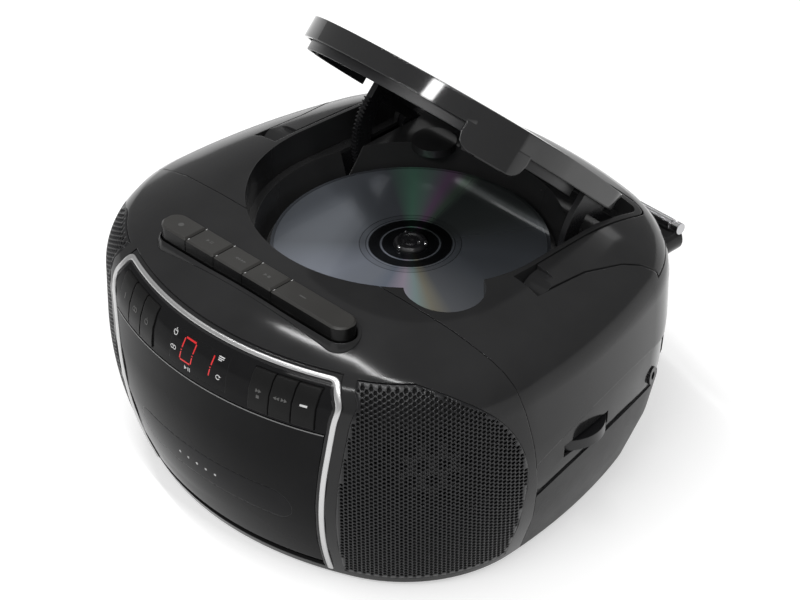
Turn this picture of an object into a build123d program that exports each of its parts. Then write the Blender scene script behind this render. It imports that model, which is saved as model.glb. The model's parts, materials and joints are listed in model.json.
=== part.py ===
from build123d import *
import os
from math import asin, atan2, cos, degrees, pi, radians, sin, sqrt

# A portable radio, cassette and disc player: a domed two-shell housing with a round lid over the disc
# well, a cassette door in the front panel and a folding handle sunk into the top.
# Millimetres. The front faces -Y and +Z is up. The origin is the centre of the footprint on the ground.

# Plan outline of the housing: arcs that run into each other from the front middle to the rear middle,
# each with its radius and the angle it turns through. The last radius closes the outline on the middle.
front_y = -113.0
outline_radii = (162.0, 76.0, 290.0, 63.5)
outline_turns = (25.5, 65.5, 17.5, 60.0)

# Side profile of the housing
base_z = 3.0
belt_z = 69.0                 # height of the fullest outline
base_draw = 15.0              # how far the foot of the wall draws in
shoulder_z = 90.0             # where the straight wall ends
shoulder_radius = 24.0
shoulder_turn = 60.0          # degrees turned by the shoulder before the flatter crown arc
crown_z = 121.0
wall = 2.5
seam_gap = 0.3                # between the front and the rear shell
fit_gap = 0.3                 # between parts that sit in an opening or turn beside each other
lower_steps = 3               # straight steps in which the wall draws in below the belt
shoulder_steps = 4            # and in which the shoulder rounds over
crown_steps = 2
core_overlap = 5.0            # how far the curved zone reaches into the flat middle of the form

# Disc and its drive
disc_y = 11.0
disc_z = 95.0                 # middle of the disc
disc_radius = 60.0
disc_hole = 7.5
disc_thick = 1.2
turntable_radius = 12.5

# Well for the disc and its opening in the housing
opening_radius = 70.0
opening_draw = 3.5            # how much narrower the opening is at its rear edge
opening_rear_half = opening_radius - opening_draw
opening_rear_y = disc_y + 71.0
opening_corner = 5.0
skirt = 2.0                   # wall that lines the opening
ledge_z = disc_z + 9.5
flange_thick = 2.0
well_floor_z = disc_z - 4.0
bowl_radius = 62.5
bowl_draft = 4.0              # how much wider the bowl is at the ledge
scoop_deg = -33.0             # direction of the finger scoop
scoop_radius = 17.0
scoop_floor_z = disc_z + 3.0

# Lid, its arms and its damper
lid_gap = 1.0
lid_rear_y = disc_y + 58.0
lid_corner = 18.0             # its rear corners, rounded so that it clears the housing as it opens
lid_top_z = disc_z + 25.0
lid_rim = 9.3
lid_crown = 2.7
lid_skin = 2.0
lid_open = 44.0               # degrees, the pose in which the parts are drawn
hinge_y = disc_y + 59.5
hinge_z = disc_z + 9.5
arm_x = opening_rear_half - 6.2   # inner face of each arm
arm_thick = 3.0
arm_start = 136.0             # degrees round the hinge, from +Y towards +Z, with the lid open
arm_end = 215.0
arm_band = 9.0
tooth_module = 0.6
arm_full_teeth = 112          # teeth of the full circle that the arm is a part of
pinion_teeth = 14
pinion_deg = 205.0
mesh_slack = 0.2
pin_clear = 0.06
hinge_pin = 2.5
hinge_boss = 5.0

# Handle
pivot_y = disc_y + 2.0
pivot_z = disc_z + 9.5
handle_gap = 0.8
handle_bar_gap = 2.2
handle_width = 12.2
handle_nose = 12.5
handle_thick = 9.0
handle_low_z = disc_z + 4.0
handle_pin = 3.0

# Front panel with its trim, cassette door and buttons
trim_corners = ((63.0, 109.8), (69.4, 99.4), (55.5, 5.5))
trim_width = 3.4
trim_proud = 0.6
door_top_z = disc_z - 10.0
door_low_z = base_z + 6.0
door_gap = 0.6
door_axis_y = -90.4
door_axis_z = base_z + 8.5
door_arm_half = 34.0            # outer face of the arms that carry the door
door_arm_width = 4.5
sill_z = 5.8                    # the front shell's lip under the door
window_half = 46.0
window_z = disc_z - 55.0
window_height = 16.0
display_half = 17.0
display_height = 15.0
button_start = 29.0
button_pitch = 10.2
button_low_z = disc_z - 8.0
button_high_z = disc_z + 9.5
button_gap = 0.35

# Cassette keys on the top
key_half_span = 56.0
key_depth = 12.5
key_y = disc_y - 88.3
key_top_z = disc_z + 29.3
key_height = 22.0
key_joints = (-37.5, -20.3, -3.0, 14.5)
key_gap = 0.4
key_bevel = 0.8

# Cassette deck
deck_y = -77.0                # front face of the deck plate
deck_half = 56.0
reel_x = 21.25
reel_z = 48.0
bay_half = 50.6
bay_low_z = 17.0
bay_high_z = 81.5
bay_front_y = -92.5

# Grilles and speakers
speaker_z = 74.0
speaker_azimuth = -39.3       # degrees from +X, the way the right speaker faces
speaker_radius = 33.0
hole_size = 3.4
hole_pitch = 9.0
hole_rings = 2

# Sides, back and underside
knob_y = 36.0
knob_travel = 10.0
wheel_pin = 2.5
wheel_slot_half = 15.5
jack_body = 4.0
jack_bore = 1.8
jack_length = 14.0
inlet_x = -45.0
inlet_z = 24.0
inlet_half = 11.0
strip_depth = 0.8
battery_half = 50.0
board_half = 101.2
foot_x = 60.0
rail_x = 9.0
slot_front_y = 30.6
capstan_x = 12.5
capstan_z = 25.0
pinch_x = 13.0
roller_z = 11.5
bay_back_y = -80.0
bay_grip = 36.0
speaker_depth = 11.5
wheel_radius = 17.0
wheel_thick = 5.0
wheel_proud = 3.4
wheel_y = disc_y - 3.4
wheel_z = disc_z - 41.5
jack_deg = 21.4               # direction of the jack from the centre of the rear corner
jack_z = disc_z - 45.5
antenna_y = 110.3
antenna_z = disc_z - 7.0
antenna_pivot_x = -72.0
antenna_tip_x = 66.0
antenna_radii = (2.6, 1.9, 1.2)
post_x = 58.0
post_radius = 7.0
post_end_y = 113.0
board_z = 39.0
board_thick = 1.6
cover_inset = 20.0
foot_radius = 8.0

far = 400.0

os.makedirs("parts", exist_ok=True)


# Shared shapes

def outline_arcs():
    """Centre, radius, start and end direction of each arc on the right half of the outline."""
    arcs = []
    x, y, turned = 0.0, front_y, -90.0
    for radius, turn in zip(outline_radii, outline_turns):
        cx = x - radius * cos(radians(turned))
        cy = y - radius * sin(radians(turned))
        arcs.append((cx, cy, radius, turned, turned + turn))
        turned += turn
        x = cx + radius * cos(radians(turned))
        y = cy + radius * sin(radians(turned))
    last = x / cos(radians(turned))
    arcs.append((0.0, y - last * sin(radians(turned)), last, turned, 90.0))
    return arcs


arcs = outline_arcs()
rear_y = arcs[-1][1] + arcs[-1][2]
crown_radius = ((crown_z - shoulder_z - shoulder_radius * sin(radians(shoulder_turn)))
                / (1 - sin(radians(shoulder_turn))))
crown_inset = (shoulder_radius * (1 - cos(radians(shoulder_turn)))
               + crown_radius * cos(radians(shoulder_turn)))
base_radius = ((belt_z - base_z) ** 2 + base_draw ** 2) / (2 * base_draw)


def inset_at(z):
    """How far the outer skin lies inside the widest outline at this height."""
    if z < belt_z:
        return base_radius - sqrt(base_radius ** 2 - (belt_z - z) ** 2)
    if z < shoulder_z:
        return 0.0
    rise = z - shoulder_z
    bend = shoulder_radius * sin(radians(shoulder_turn))
    if rise < bend:
        return shoulder_radius - sqrt(shoulder_radius ** 2 - rise ** 2)
    lift = rise - bend + crown_radius * sin(radians(shoulder_turn))
    return crown_inset - sqrt(max(crown_radius ** 2 - lift ** 2, 0))


def skin_point(direction, z, depth=0.0):
    """Point on the housing's skin where the outline faces this direction, in degrees from +X."""
    side = -1 if cos(radians(direction)) < 0 else 1
    right = degrees(atan2(sin(radians(direction)), abs(cos(radians(direction)))))
    for cx, cy, radius, start, end in arcs:
        if start <= right <= end:
            reach = radius - inset_at(z) - depth
            return Vector(side * (cx + reach * cos(radians(right))), cy + reach * sin(radians(right)), z)


def profile(radius, depth, steps):
    """Section of the housing's outer zone at an arc of this radius, drawn from the arc's centre."""
    low = base_z + depth
    inner = radius - crown_inset - core_overlap
    turn = radians(shoulder_turn)
    round_r = shoulder_radius - depth
    crown_r = crown_radius - depth
    foot = [low + (belt_z - low) * k / lower_steps for k in range(lower_steps + 1)]
    bend = [turn * k / steps for k in range(steps + 1)]
    late = [turn + (pi / 2 - turn) * k / crown_steps for k in range(1, crown_steps + 1)]
    return make_face(Polyline(
        (inner, low),
        *[(radius - depth - inset_at(z), z) for z in foot],
        *[(radius - depth - round_r * (1 - cos(a)), shoulder_z + round_r * sin(a)) for a in bend],
        *[(radius - crown_inset + crown_r * cos(a), crown_z - crown_radius + crown_r * sin(a)) for a in late],
        (inner, crown_z - depth),
        close=True,
    ))


def block(x0, x1, y0, y1, z0, z1):
    return Pos((x0 + x1) / 2, (y0 + y1) / 2, (z0 + z1) / 2) * Box(abs(x1 - x0), abs(y1 - y0), abs(z1 - z0))


def housing_form(depth, steps=2):
    """The whole housing as a solid, drawn in by this depth, or pushed out if it is negative."""
    pieces = []
    rim = []
    for cx, cy, radius, start, end in arcs:
        sector = revolve(Plane.XZ * profile(radius, depth, steps), axis=Axis.Z, revolution_arc=end - start)
        pieces.append(Pos(cx, cy) * Rot(0, 0, start) * sector)
        for turn in (start, end):
            reach = radius - crown_inset
            rim.append((cx + reach * cos(radians(turn)), cy + reach * sin(radians(turn))))
    core = Polygon(*dict.fromkeys((round(x, 4), round(y, 4)) for x, y in rim), align=None)
    middle = Pos(0, 0, base_z + depth) * extrude(core, crown_z - base_z - 2 * depth)
    right = middle.fuse(*pieces) - block(-far, 0, -far, far, -far, far)
    return (right + mirror(right, about=Plane.YZ)).clean()


def prism_y(face):
    """Long prism along Y through a face drawn in X and Z."""
    return extrude(Plane.XZ * face, far, both=True)


def prism_x(face):
    """Long prism along X through a face drawn in Y and Z."""
    return extrude(Plane.YZ * face, far, both=True)


def column(face, low, high):
    return Pos(0, 0, low) * extrude(face, high - low)


def rod_x(radius, x0, x1, y, z):
    return Pos((x0 + x1) / 2, y, z) * Rot(0, 90, 0) * Cylinder(radius, abs(x1 - x0))


def rod_y(radius, y0, y1, x, z):
    return Pos(x, (y0 + y1) / 2, z) * Rot(90, 0, 0) * Cylinder(radius, abs(y1 - y0))


def rod_z(radius, z0, z1, x, y):
    return Pos(x, y, (z0 + z1) / 2) * Cylinder(radius, abs(z1 - z0))


def flipped(shape):
    """The same piece for the other side."""
    return mirror(shape, about=Plane.YZ)


def symmetric(right):
    """A half outline given by its right-hand points, closed by their mirror image."""
    return Polygon(*right, *[(-x, y) for x, y in reversed(right)], align=None)


def round_plan(radius, rear_half, rear, corner):
    """Plan of the lid, its opening and what lines it: round in front, straight sides to the rear."""
    sides = symmetric([(radius, disc_y), (rear_half, rear)])
    sides = fillet(sides.vertices().group_by(Axis.Y)[-1], corner)
    front = Circle(radius) - Pos(0, radius) * Rectangle(2 * radius, 2 * radius)
    return Pos(0, disc_y) * front + sides


def opening_plan(grow, rear_extra=0.0):
    return round_plan(opening_radius + grow, opening_rear_half + grow,
                      opening_rear_y + grow + rear_extra, opening_corner + max(grow, 0))


def scoop_plan(grow):
    x = opening_radius * cos(radians(scoop_deg))
    y = disc_y + opening_radius * sin(radians(scoop_deg))
    return Pos(x, y) * Circle(scoop_radius + grow)


def outline_plan(inset):
    """The widest outline, drawn in by an inset."""
    edges = [CenterArc((cx, cy), radius - inset, start, end - start) for cx, cy, radius, start, end in arcs]
    half = Curve() + edges
    return make_face(half + mirror(half, about=Plane.YZ))


def skin_x(y, z):
    """Half width of the outer skin at this depth and height."""
    for cx, cy, radius, start, end in arcs:
        reach = radius - inset_at(z)
        lean = (y - cy) / reach
        if abs(lean) <= 1 and start <= degrees(asin(lean)) <= end:
            return cx + sqrt(reach ** 2 - (y - cy) ** 2)


def trim_plan(grow):
    """Front view of the trim's outer edge, drawn in X and Z."""
    return offset(symmetric(trim_corners), grow, kind=Kind.INTERSECTION)


parts = {}

skin = housing_form(0, shoulder_steps)
cavity = housing_form(wall)
proud_form = housing_form(-trim_proud, shoulder_steps)
front_half = block(-far, far, -far, -50, -far, far)

# Where the front and the rear shell meet, seen from the side
seam = ((-20.5, 0), (-24.5, 45), (-36.5, 95), (-41.5, 112), (-52, 128))
front_zone = prism_x(make_face([
    ThreePointArc(*seam[:3]),
    ThreePointArc(*seam[2:]),
    Polyline(seam[-1], (-far, seam[-1][1]), (-far, seam[0][1]), seam[0]),
]))

# Handle, and the trough that it lies in

arm_inner = opening_radius + skirt + handle_gap
arm_outer = arm_inner + handle_width


def handle_plan(grow):
    """The handle's two arms and its rear bar from above, or the trough's plan where it is grown."""
    right = [(arm_outer, pivot_y), (arm_outer, pivot_y + handle_nose + 3), (arm_outer + 3.5, pivot_y + 34),
             (arm_outer + 8, pivot_y + 52),
             (far, pivot_y + 62), (far, far)]
    outer = offset(symmetric(right), grow, kind=Kind.INTERSECTION)
    inner = opening_plan(skirt + handle_gap - grow, handle_bar_gap - handle_gap)
    return outer - inner - Pos(0, pivot_y - far) * Rectangle(4 * far, 2 * far)


def nose(grow):
    """Rounded front end of one arm, or the pocket round it where it is grown."""
    inner, outer, reach = arm_inner - grow, arm_outer + grow, handle_nose + grow
    end = rod_x(reach, inner, outer, pivot_y, pivot_z)
    if grow > 0:
        end += block(inner, outer, pivot_y - reach, pivot_y + reach, pivot_z, far)
    return end


def handle_space(grow, depth, low):
    """What the handle fills, or its trough or the trough's lining where it is grown."""
    ring = column(handle_plan(grow), low, far) - housing_form(depth)
    return ring + nose(grow) + flipped(nose(grow))


handle = handle_space(0, handle_thick, handle_low_z) & skin
trough = handle_space(handle_gap, handle_thick + handle_gap, handle_low_z - handle_gap)
lining = handle_space(handle_gap + wall, handle_thick + handle_gap + wall, handle_low_z - handle_gap - wall)
pin_end = arm_outer + handle_gap + wall
handle_pins = rod_x(handle_pin, arm_outer - 1, pin_end, pivot_y, pivot_z)
handle += handle_pins + flipped(handle_pins)
handle_bores = rod_x(handle_pin + pin_clear, arm_outer, pin_end + 1, pivot_y, pivot_z)

# Housing shells, cut from one hollow form

well_opening = column(opening_plan(0) + scoop_plan(0), ledge_z, far)
well_skirt = column(opening_plan(skirt) + scoop_plan(skirt), ledge_z, far)
flange_room = column(opening_plan(skirt) + scoop_plan(skirt), ledge_z - flange_thick - 6, ledge_z)
trim_room = prism_y(trim_plan(0)) & front_half & block(-far, far, -far, far, sill_z, far)
key_plan = Pos(0, key_y) * SlotOverall(2 * key_half_span, key_depth)
key_room = column(offset(key_plan, key_gap), base_z, far)
key_guide = column(offset(key_plan, key_gap + 1.6), key_top_z - 16, far)
cover_plan = outline_plan(cover_inset) & (Pos(0, far - 80) * Rectangle(2 * far, 2 * far))
side_strip = prism_x(make_face([
    ThreePointArc((-26, 36.5), (25, 47), (82, 38)),
    Line((82, 38), (82, 60)),
    ThreePointArc((82, 60), (25, 69), (-26, 57)),
    Line((-26, 57), (-26, 36.5)),
]))

grille_zone = prism_x(make_face([
    Line((-30.5, 6.0), (-31, 55)),
    ThreePointArc((-31, 55), (-44.5, 87), (-72, 109)),
    Polyline((-72, 109), (-far, 109), (-far, 6.0), (-30.5, 6.0)),
])) - prism_y(trim_plan(4.6))
grille_zone &= block(30, far, -far, 0, 0, far)


# Openings for the controls and sockets on the sides and at the back
wheel_x = skin_x(wheel_y, wheel_z) + wheel_proud - wheel_radius
wheel_slot = block(wheel_x, far, wheel_y - wheel_slot_half, wheel_y + wheel_slot_half,
                   wheel_z - wheel_thick / 2 - 0.6, wheel_z + wheel_thick / 2 + 0.6)
knob_x = -skin_x(knob_y, wheel_z)
knob_slot = block(-far, knob_x + 12, knob_y - 2.5, knob_y + knob_travel + 2.5, wheel_z - 2, wheel_z + 2)
jack_plane = Plane(skin_point(jack_deg, jack_z), z_dir=(cos(radians(jack_deg)), sin(radians(jack_deg)), 0))
jack_room = jack_plane * Cylinder(jack_body, 2 * jack_length)
inlet_room = block(inlet_x - inlet_half, inlet_x + inlet_half, 0, far, inlet_z - 7, inlet_z + 7)
outside = rod_y(6.5, 75, 106.4, antenna_pivot_x, antenna_z)

# The inside keeps walls round the disc well, behind the handle's trough and round the keys
inside = cavity - well_skirt - lining - key_guide
housing = (skin + outside) - inside
housing -= rod_y(2 + pin_clear, 96, far, antenna_pivot_x, antenna_z)
housing -= trough
housing -= handle_bores + flipped(handle_bores)
housing -= well_opening
housing -= flange_room
housing -= key_room
housing -= column(cover_plan, 0, base_z + wall)
strip_room = (side_strip - housing_form(strip_depth)) - block(-60, 60, -far, far, 0, far)
grille_room = grille_zone + flipped(grille_zone)

front_shell = (housing & front_zone) - trim_room - grille_room
hinge_bracket = (block(door_arm_half + fit_gap, door_arm_half + 2.5, door_axis_y - 1.9, door_axis_y + 1.5,
                       base_z, door_axis_z + 2.6)
                 + rod_x(1.5, door_arm_half - door_arm_width, door_arm_half + 1, door_axis_y, door_axis_z))
front_shell += hinge_bracket + flipped(hinge_bracket)
parts["front_shell"] = front_shell

rear_zone = Pos(0, seam_gap, 0) * front_zone
rear_shell = housing - rear_zone - strip_room
rear_shell -= wheel_slot + flipped(wheel_slot) + knob_slot + jack_room + inlet_room
parts["rear_shell"] = rear_shell

# Front panel: trim, glossy control panel, display and buttons

trim = (proud_form - cavity) & trim_room
trim -= prism_y(trim_plan(-trim_width)) & front_half
leg_x = trim_corners[-1][0] - trim_width + 0.2
trim -= block(-leg_x, leg_x, -far, far, 0, trim_corners[-1][1] + trim_width)
parts["panel_trim"] = trim
panel_zone = prism_y(trim_plan(-trim_width)) & front_half
button_z = (button_low_z + button_high_z) / 2


def button_block(index, grow):
    """Room of one button, counted outwards from the middle on the right-hand side."""
    start = button_start + button_pitch * index + button_gap
    return block(start - grow, start + button_pitch - 2 * button_gap + grow, -far, -50,
                 button_low_z - grow, button_high_z + grow)


button_room = Part() + [button_block(index, button_gap) for index in range(3)]
display_block = block(-display_half, display_half, -far, -50, button_z - display_height / 2,
                      button_z + display_height / 2)
upper_panel = panel_zone & block(-far, far, -far, far, door_top_z + door_gap, far)
control_panel = ((skin - cavity) & upper_panel) - button_room - flipped(button_room) - display_block
parts["control_panel"] = control_panel
parts["display_module"] = (skin - Pos(0, 6, 0) * cavity) & display_block
for side, name in ((1, "right"), (-1, "left")):
    for index in range(3):
        cap = (proud_form - Pos(0, 2.5, 0) * cavity) & button_block(index, 0)
        parts[f"button_{name}_{index + 1}"] = cap if side > 0 else flipped(cap)

# Cassette door with its window and carrier

door_face = trim_plan(-trim_width - door_gap) & (Pos(0, (door_top_z + door_low_z) / 2)
                                                 * Rectangle(far, door_top_z - door_low_z))
window_face = Pos(0, window_z) * SlotOverall(2 * window_half, window_height)
door_zone = prism_y(door_face) & front_half
window_zone = prism_y(window_face) & front_half
door = ((skin - cavity) & door_zone) - window_zone
arm_inner_x = door_arm_half - door_arm_width
door_arm = (block(arm_inner_x, door_arm_half, -far, door_axis_y, door_axis_z - 2.5, door_axis_z + 2.5)
            + rod_x(2.5, arm_inner_x, door_arm_half, door_axis_y, door_axis_z)) & cavity
door_arm -= rod_x(1.5 + pin_clear, 0, far, door_axis_y, door_axis_z)
parts["cassette_door"] = door + door_arm + flipped(door_arm)
parts["door_window"] = (skin - cavity) & window_zone

guide = block(bay_half + 0.2, bay_half + 1.8, -far, bay_back_y, bay_low_z - 2, bay_high_z - 12)
ledge = block(bay_grip, bay_half + 1.8, bay_front_y, bay_back_y, bay_low_z - 2, bay_low_z)
bridge = block(-bay_half - 1, bay_half + 1, bay_front_y, bay_front_y + 2, bay_low_z - 2, bay_low_z)
parts["cassette_carrier"] = (guide + ledge + flipped(guide + ledge) + bridge) & cavity

# Cassette deck behind the bay

plate_back = deck_y + 2.5
deck_plate = block(-deck_half, deck_half, deck_y, plate_back, base_z + wall, door_top_z - 2)
for x in (-reel_x, reel_x):
    deck_plate -= rod_y(3.0 + pin_clear, -far, far, x, reel_z)
deck_plate -= rod_y(1.2 + pin_clear, -far, far, capstan_x, capstan_z)
deck_plate += rod_y(1.2, deck_y - 7.5, deck_y, pinch_x, roller_z)
parts["tape_deck"] = deck_plate
for name, x in (("reel_left", -reel_x), ("reel_right", reel_x)):
    reel = rod_y(4.6, deck_y - 9, deck_y - fit_gap, x, reel_z)
    for turn in range(3):
        fin = Pos(x, 0, reel_z) * Rot(0, 120 * turn, 0) * block(0, 5.6, deck_y - 9, deck_y - 4, -0.7, 0.7)
        reel += fin
    reel += rod_y(3.0, deck_y - 1, plate_back + 1, x, reel_z)
    parts[name] = reel + rod_y(8.0, plate_back + fit_gap, plate_back + 3, x, reel_z)
flywheel = rod_y(15.0, plate_back + fit_gap, plate_back + 7, capstan_x, capstan_z)
parts["capstan"] = flywheel + rod_y(1.2, deck_y - 9, plate_back + 1, capstan_x, capstan_z)
parts["pinch_roller"] = (rod_y(4.5, deck_y - 7.3, deck_y - 0.5, pinch_x, roller_z)
                         - rod_y(1.2 + pin_clear, -far, far, pinch_x, roller_z))
parts["tape_head"] = (block(-10, 4, deck_y - 9, deck_y, base_z + wall + 1, roller_z + 3)
                      + rod_z(3.5, roller_z, roller_z + 4.5, -3, deck_y - 5))

# Cassette keys in one rounded row

key_ends = (-key_half_span, *key_joints, key_half_span)
for index, (left, right) in enumerate(zip(key_ends, key_ends[1:])):
    middle = (left + right) / 2
    shape = key_plan & (Pos(middle, key_y) * Rectangle(right - left - key_gap, 2 * key_depth))
    key = column(shape, key_top_z - key_height, key_top_z - key_bevel)
    key += Pos(0, 0, key_top_z - key_bevel) * extrude(shape, key_bevel, taper=45)
    parts[f"key_{index + 1}"] = key

# Grilles with a honeycomb in front of each speaker

right_plane = Plane(skin_point(speaker_azimuth, speaker_z),
                    z_dir=(cos(radians(speaker_azimuth)), sin(radians(speaker_azimuth)), 0),
                    x_dir=(-sin(radians(speaker_azimuth)), cos(radians(speaker_azimuth)), 0))
grille = (skin - cavity) & grille_zone
holes = Part()
for q in range(-hole_rings, hole_rings + 1):
    for r in range(max(-hole_rings, -q - hole_rings), min(hole_rings, hole_rings - q) + 1):
        spot = Pos(hole_pitch * (q + r / 2), hole_pitch * r * sqrt(3) / 2)
        holes += right_plane * Pos(0, 0, -25) * extrude(spot * RegularPolygon(hole_size, 6), 40)
seat = right_plane * Pos(0, 0, -speaker_depth) * (extrude(Circle(speaker_radius) - Circle(speaker_radius - 2.5),
                                                          40))
grille = (grille - holes) + (seat & cavity & grille_zone)
parts["grille_right"] = grille
parts["grille_left"] = flipped(grille)
cone = Polyline((0, -11), (8, -11), (27, -2), (29, -2), (30, 0), (33, 0), (33, -2), (30.5, -2.5),
                (15, -17), (15, -27), (0, -27), (0, -11))
speaker = right_plane * Pos(0, 0, -speaker_depth - 0.02) * revolve(Plane.XZ * make_face(cone), axis=Axis.Z)
parts["speaker_right"] = speaker
parts["speaker_left"] = flipped(speaker)

# Where the damper's pinion meshes with the left arm
pitch_radius = tooth_module * arm_full_teeth / 2
pinion_radius = tooth_module * pinion_teeth / 2
centre_gap = pitch_radius + pinion_radius + mesh_slack
pinion_y = hinge_y + centre_gap * cos(radians(pinion_deg))
pinion_z = hinge_z + centre_gap * sin(radians(pinion_deg))

# Disc well with the drive under it

flange = column(opening_plan(skirt) + scoop_plan(skirt), ledge_z - flange_thick, ledge_z)
bowl_top = bowl_radius + bowl_draft
bowl_out = Pos(0, disc_y, (ledge_z + well_floor_z - 2) / 2) * Cone(
    bowl_radius + 2, bowl_top + 2, ledge_z - well_floor_z + 2)
bowl_in = Pos(0, disc_y, (ledge_z + well_floor_z) / 2) * Cone(bowl_radius, bowl_top, ledge_z - well_floor_z)
pocket_out = column(scoop_plan(skirt), scoop_floor_z - 2, ledge_z)
pocket_in = column(scoop_plan(0), scoop_floor_z, ledge_z)
well = flange + bowl_out + pocket_out - bowl_in - pocket_in
well += rod_z(10, ledge_z - flange_thick, ledge_z + 1.5, -40, disc_y + 54)
arm_slot = block(arm_x - 0.6, arm_x + arm_thick + fit_gap, slot_front_y, hinge_y + hinge_boss + 1, 0, far)
well -= arm_slot + flipped(arm_slot)
boss_x = arm_x + arm_thick + fit_gap
bearing = (rod_x(hinge_boss, boss_x, boss_x + 2.7, hinge_y, hinge_z)
           - rod_x(hinge_pin + pin_clear, 0, far, hinge_y, hinge_z))
well -= rod_x(hinge_pin + pin_clear, boss_x - 1, boss_x + 4, hinge_y, hinge_z)
well -= rod_x(hinge_pin + pin_clear, -boss_x - 4, 1 - boss_x, hinge_y, hinge_z)
well += bearing + flipped(bearing)
well -= rod_z(4, 0, far, 0, disc_y)
well -= block(-7, 7, disc_y - 61, disc_y - 16, well_floor_z - 3, well_floor_z + 1)
damper_reach = 6.0
well -= block(-boss_x - damper_reach - fit_gap, -arm_x, pinion_y - 5.3, pinion_y + 5.3, 0,
              ledge_z - flange_thick)
parts["cd_deck"] = well

under = well_floor_z - 2
parts["spindle_motor"] = (rod_z(12, under - 14, under, 0, disc_y)
                          - rod_z(1 + pin_clear, under - 12, far, 0, disc_y))
table_z = disc_z - disc_thick / 2
parts["turntable"] = (rod_z(turntable_radius, table_z - 1.8, table_z, 0, disc_y)
                      + rod_z(disc_hole - 0.1, table_z - 1, table_z + 3.2, 0, disc_y)
                      + rod_z(1, under - 10, table_z, 0, disc_y))
parts["disc"] = (rod_z(disc_radius, table_z, table_z + disc_thick, 0, disc_y)
                 - rod_z(disc_hole, 0, far, 0, disc_y))
rail_z = under - 4
rails = Part()
for x in (-rail_x, rail_x):
    rails += rod_y(1.5, disc_y - 67, disc_y - 13.5, x, rail_z)
for y in (disc_y - 67, disc_y - 16):
    rails += block(-rail_x - 2.5, rail_x + 2.5, y, y + 2.5, rail_z - 2.5, under)
parts["sled_rails"] = rails
sled = block(-rail_x - 3, rail_x + 3, disc_y - 33, disc_y - 16.5, rail_z - 3, under - fit_gap)
sled += rod_z(4, under - 2, table_z - 2, 0, disc_y - 25)
for x in (-rail_x, rail_x):
    sled -= rod_y(1.5 + pin_clear, -far, far, x, rail_z)
parts["laser_sled"] = sled

# Lid, built closed and then swung open


def opened(shape):
    """A piece of the lid, turned from closed to the open pose."""
    return shape.rotate(Axis((0, hinge_y, hinge_z), (1, 0, 0)), -lid_open)


def lid_plan(inset):
    half = opening_radius - opening_draw * (lid_rear_y - disc_y) / (opening_rear_y - disc_y)
    return round_plan(opening_radius - lid_gap - inset, half - lid_gap - inset, lid_rear_y - inset,
                      lid_corner - inset)


crown_ball = ((opening_radius ** 2 + lid_crown ** 2) / (2 * lid_crown))
dome = Pos(0, disc_y, lid_top_z + lid_crown - crown_ball) * Rot(90, 0, 0) * Sphere(crown_ball)
lid = column(lid_plan(0), lid_top_z - lid_rim, lid_top_z + lid_crown) & dome
lid -= column(lid_plan(lid_skin), 0, lid_top_z - lid_skin)
scoop_x = (opening_radius - lid_gap) * cos(radians(scoop_deg))
scoop_y = disc_y + (opening_radius - lid_gap) * sin(radians(scoop_deg))
tongue = column(Pos(scoop_x, scoop_y) * Circle(scoop_radius - 1), disc_z + 5, lid_top_z - lid_rim + 1)
tongue_out = opening_radius - lid_gap
tongue &= rod_z(tongue_out, 0, far, 0, disc_y) - rod_z(tongue_out - lid_skin, 0, far, 0,
                                                                      disc_y)
parts["lid_cover"] = opened(lid + tongue)
inner_plan = round_plan(arm_x - 1.5, arm_x - 2.5, lid_rear_y - lid_skin, lid_corner - 4)
liner = column(inner_plan, lid_top_z - lid_skin - 4, lid_top_z - lid_skin)
liner -= column(offset(inner_plan, -2), lid_top_z - lid_skin - 2.5, lid_top_z - lid_skin)
liner += rod_z(11, lid_top_z - lid_skin - 6, lid_top_z - lid_skin, 0, disc_y)
parts["lid_inner"] = opened(liner)

def at_angle(radius, angle):
    return (radius * cos(radians(angle)), radius * sin(radians(angle)))


def tooth_points(radius, teeth, middle):
    """One slim tooth, from root to tip and back to the root, round a centre at the origin."""
    pitch = 360 / teeth
    root, tip = radius - 1.2 * tooth_module, radius + 0.9 * tooth_module
    return [at_angle(root, middle - 0.32 * pitch), at_angle(tip, middle - 0.12 * pitch),
            at_angle(tip, middle + 0.12 * pitch), at_angle(root, middle + 0.32 * pitch)]


def arm_face(toothed):
    """Side view of an arm in the open pose, round the hinge: a curved band, a web and the hinge eye."""
    outer = pitch_radius - 1.2 * tooth_module
    inner = pitch_radius - arm_band
    band = make_face([
        CenterArc((0, 0), outer, arm_start, arm_end - arm_start),
        Line(at_angle(outer, arm_end), at_angle(inner, arm_end)),
        CenterArc((0, 0), inner, arm_start, arm_end - arm_start),
        Line(at_angle(inner, arm_start), at_angle(outer, arm_start)),
    ])
    if toothed:
        pitch = 360 / arm_full_teeth
        first = pinion_deg - pitch * (int((pinion_deg - arm_start) / pitch) - 0.5)
        count = int((arm_end - first) / pitch)
        points = []
        for k in range(count):
            points += tooth_points(pitch_radius, arm_full_teeth, first + k * pitch)
        back = [at_angle(outer - 2, first + (count - 1 - k) * pitch) for k in range(count)]
        band += make_face(Polyline(*points, *back, close=True))
    ceiling = lid_top_z - lid_skin - hinge_z
    rear = lid_rear_y - lid_corner + 4 - hinge_y
    eye = hinge_boss - 0.5
    web = Polygon((-outer, 0), (-outer, ceiling), (rear, ceiling), (rear, eye), (0, eye), (0, 0), align=None)
    web = Rot(0, 0, -lid_open) * web
    return band + web + Circle(eye)


def lid_arm(toothed, side):
    plate = extrude(Plane.YZ * arm_face(toothed), arm_thick, dir=(1, 0, 0))
    plate = Pos(arm_x if side > 0 else -arm_x - arm_thick, hinge_y, hinge_z) * plate
    pin = rod_x(hinge_pin, side * (arm_x + 1), side * (boss_x + 2.7), hinge_y, hinge_z)
    return plate + pin


parts["lid_arm_left"] = lid_arm(True, -1)
parts["lid_arm_right"] = lid_arm(False, 1)

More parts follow.
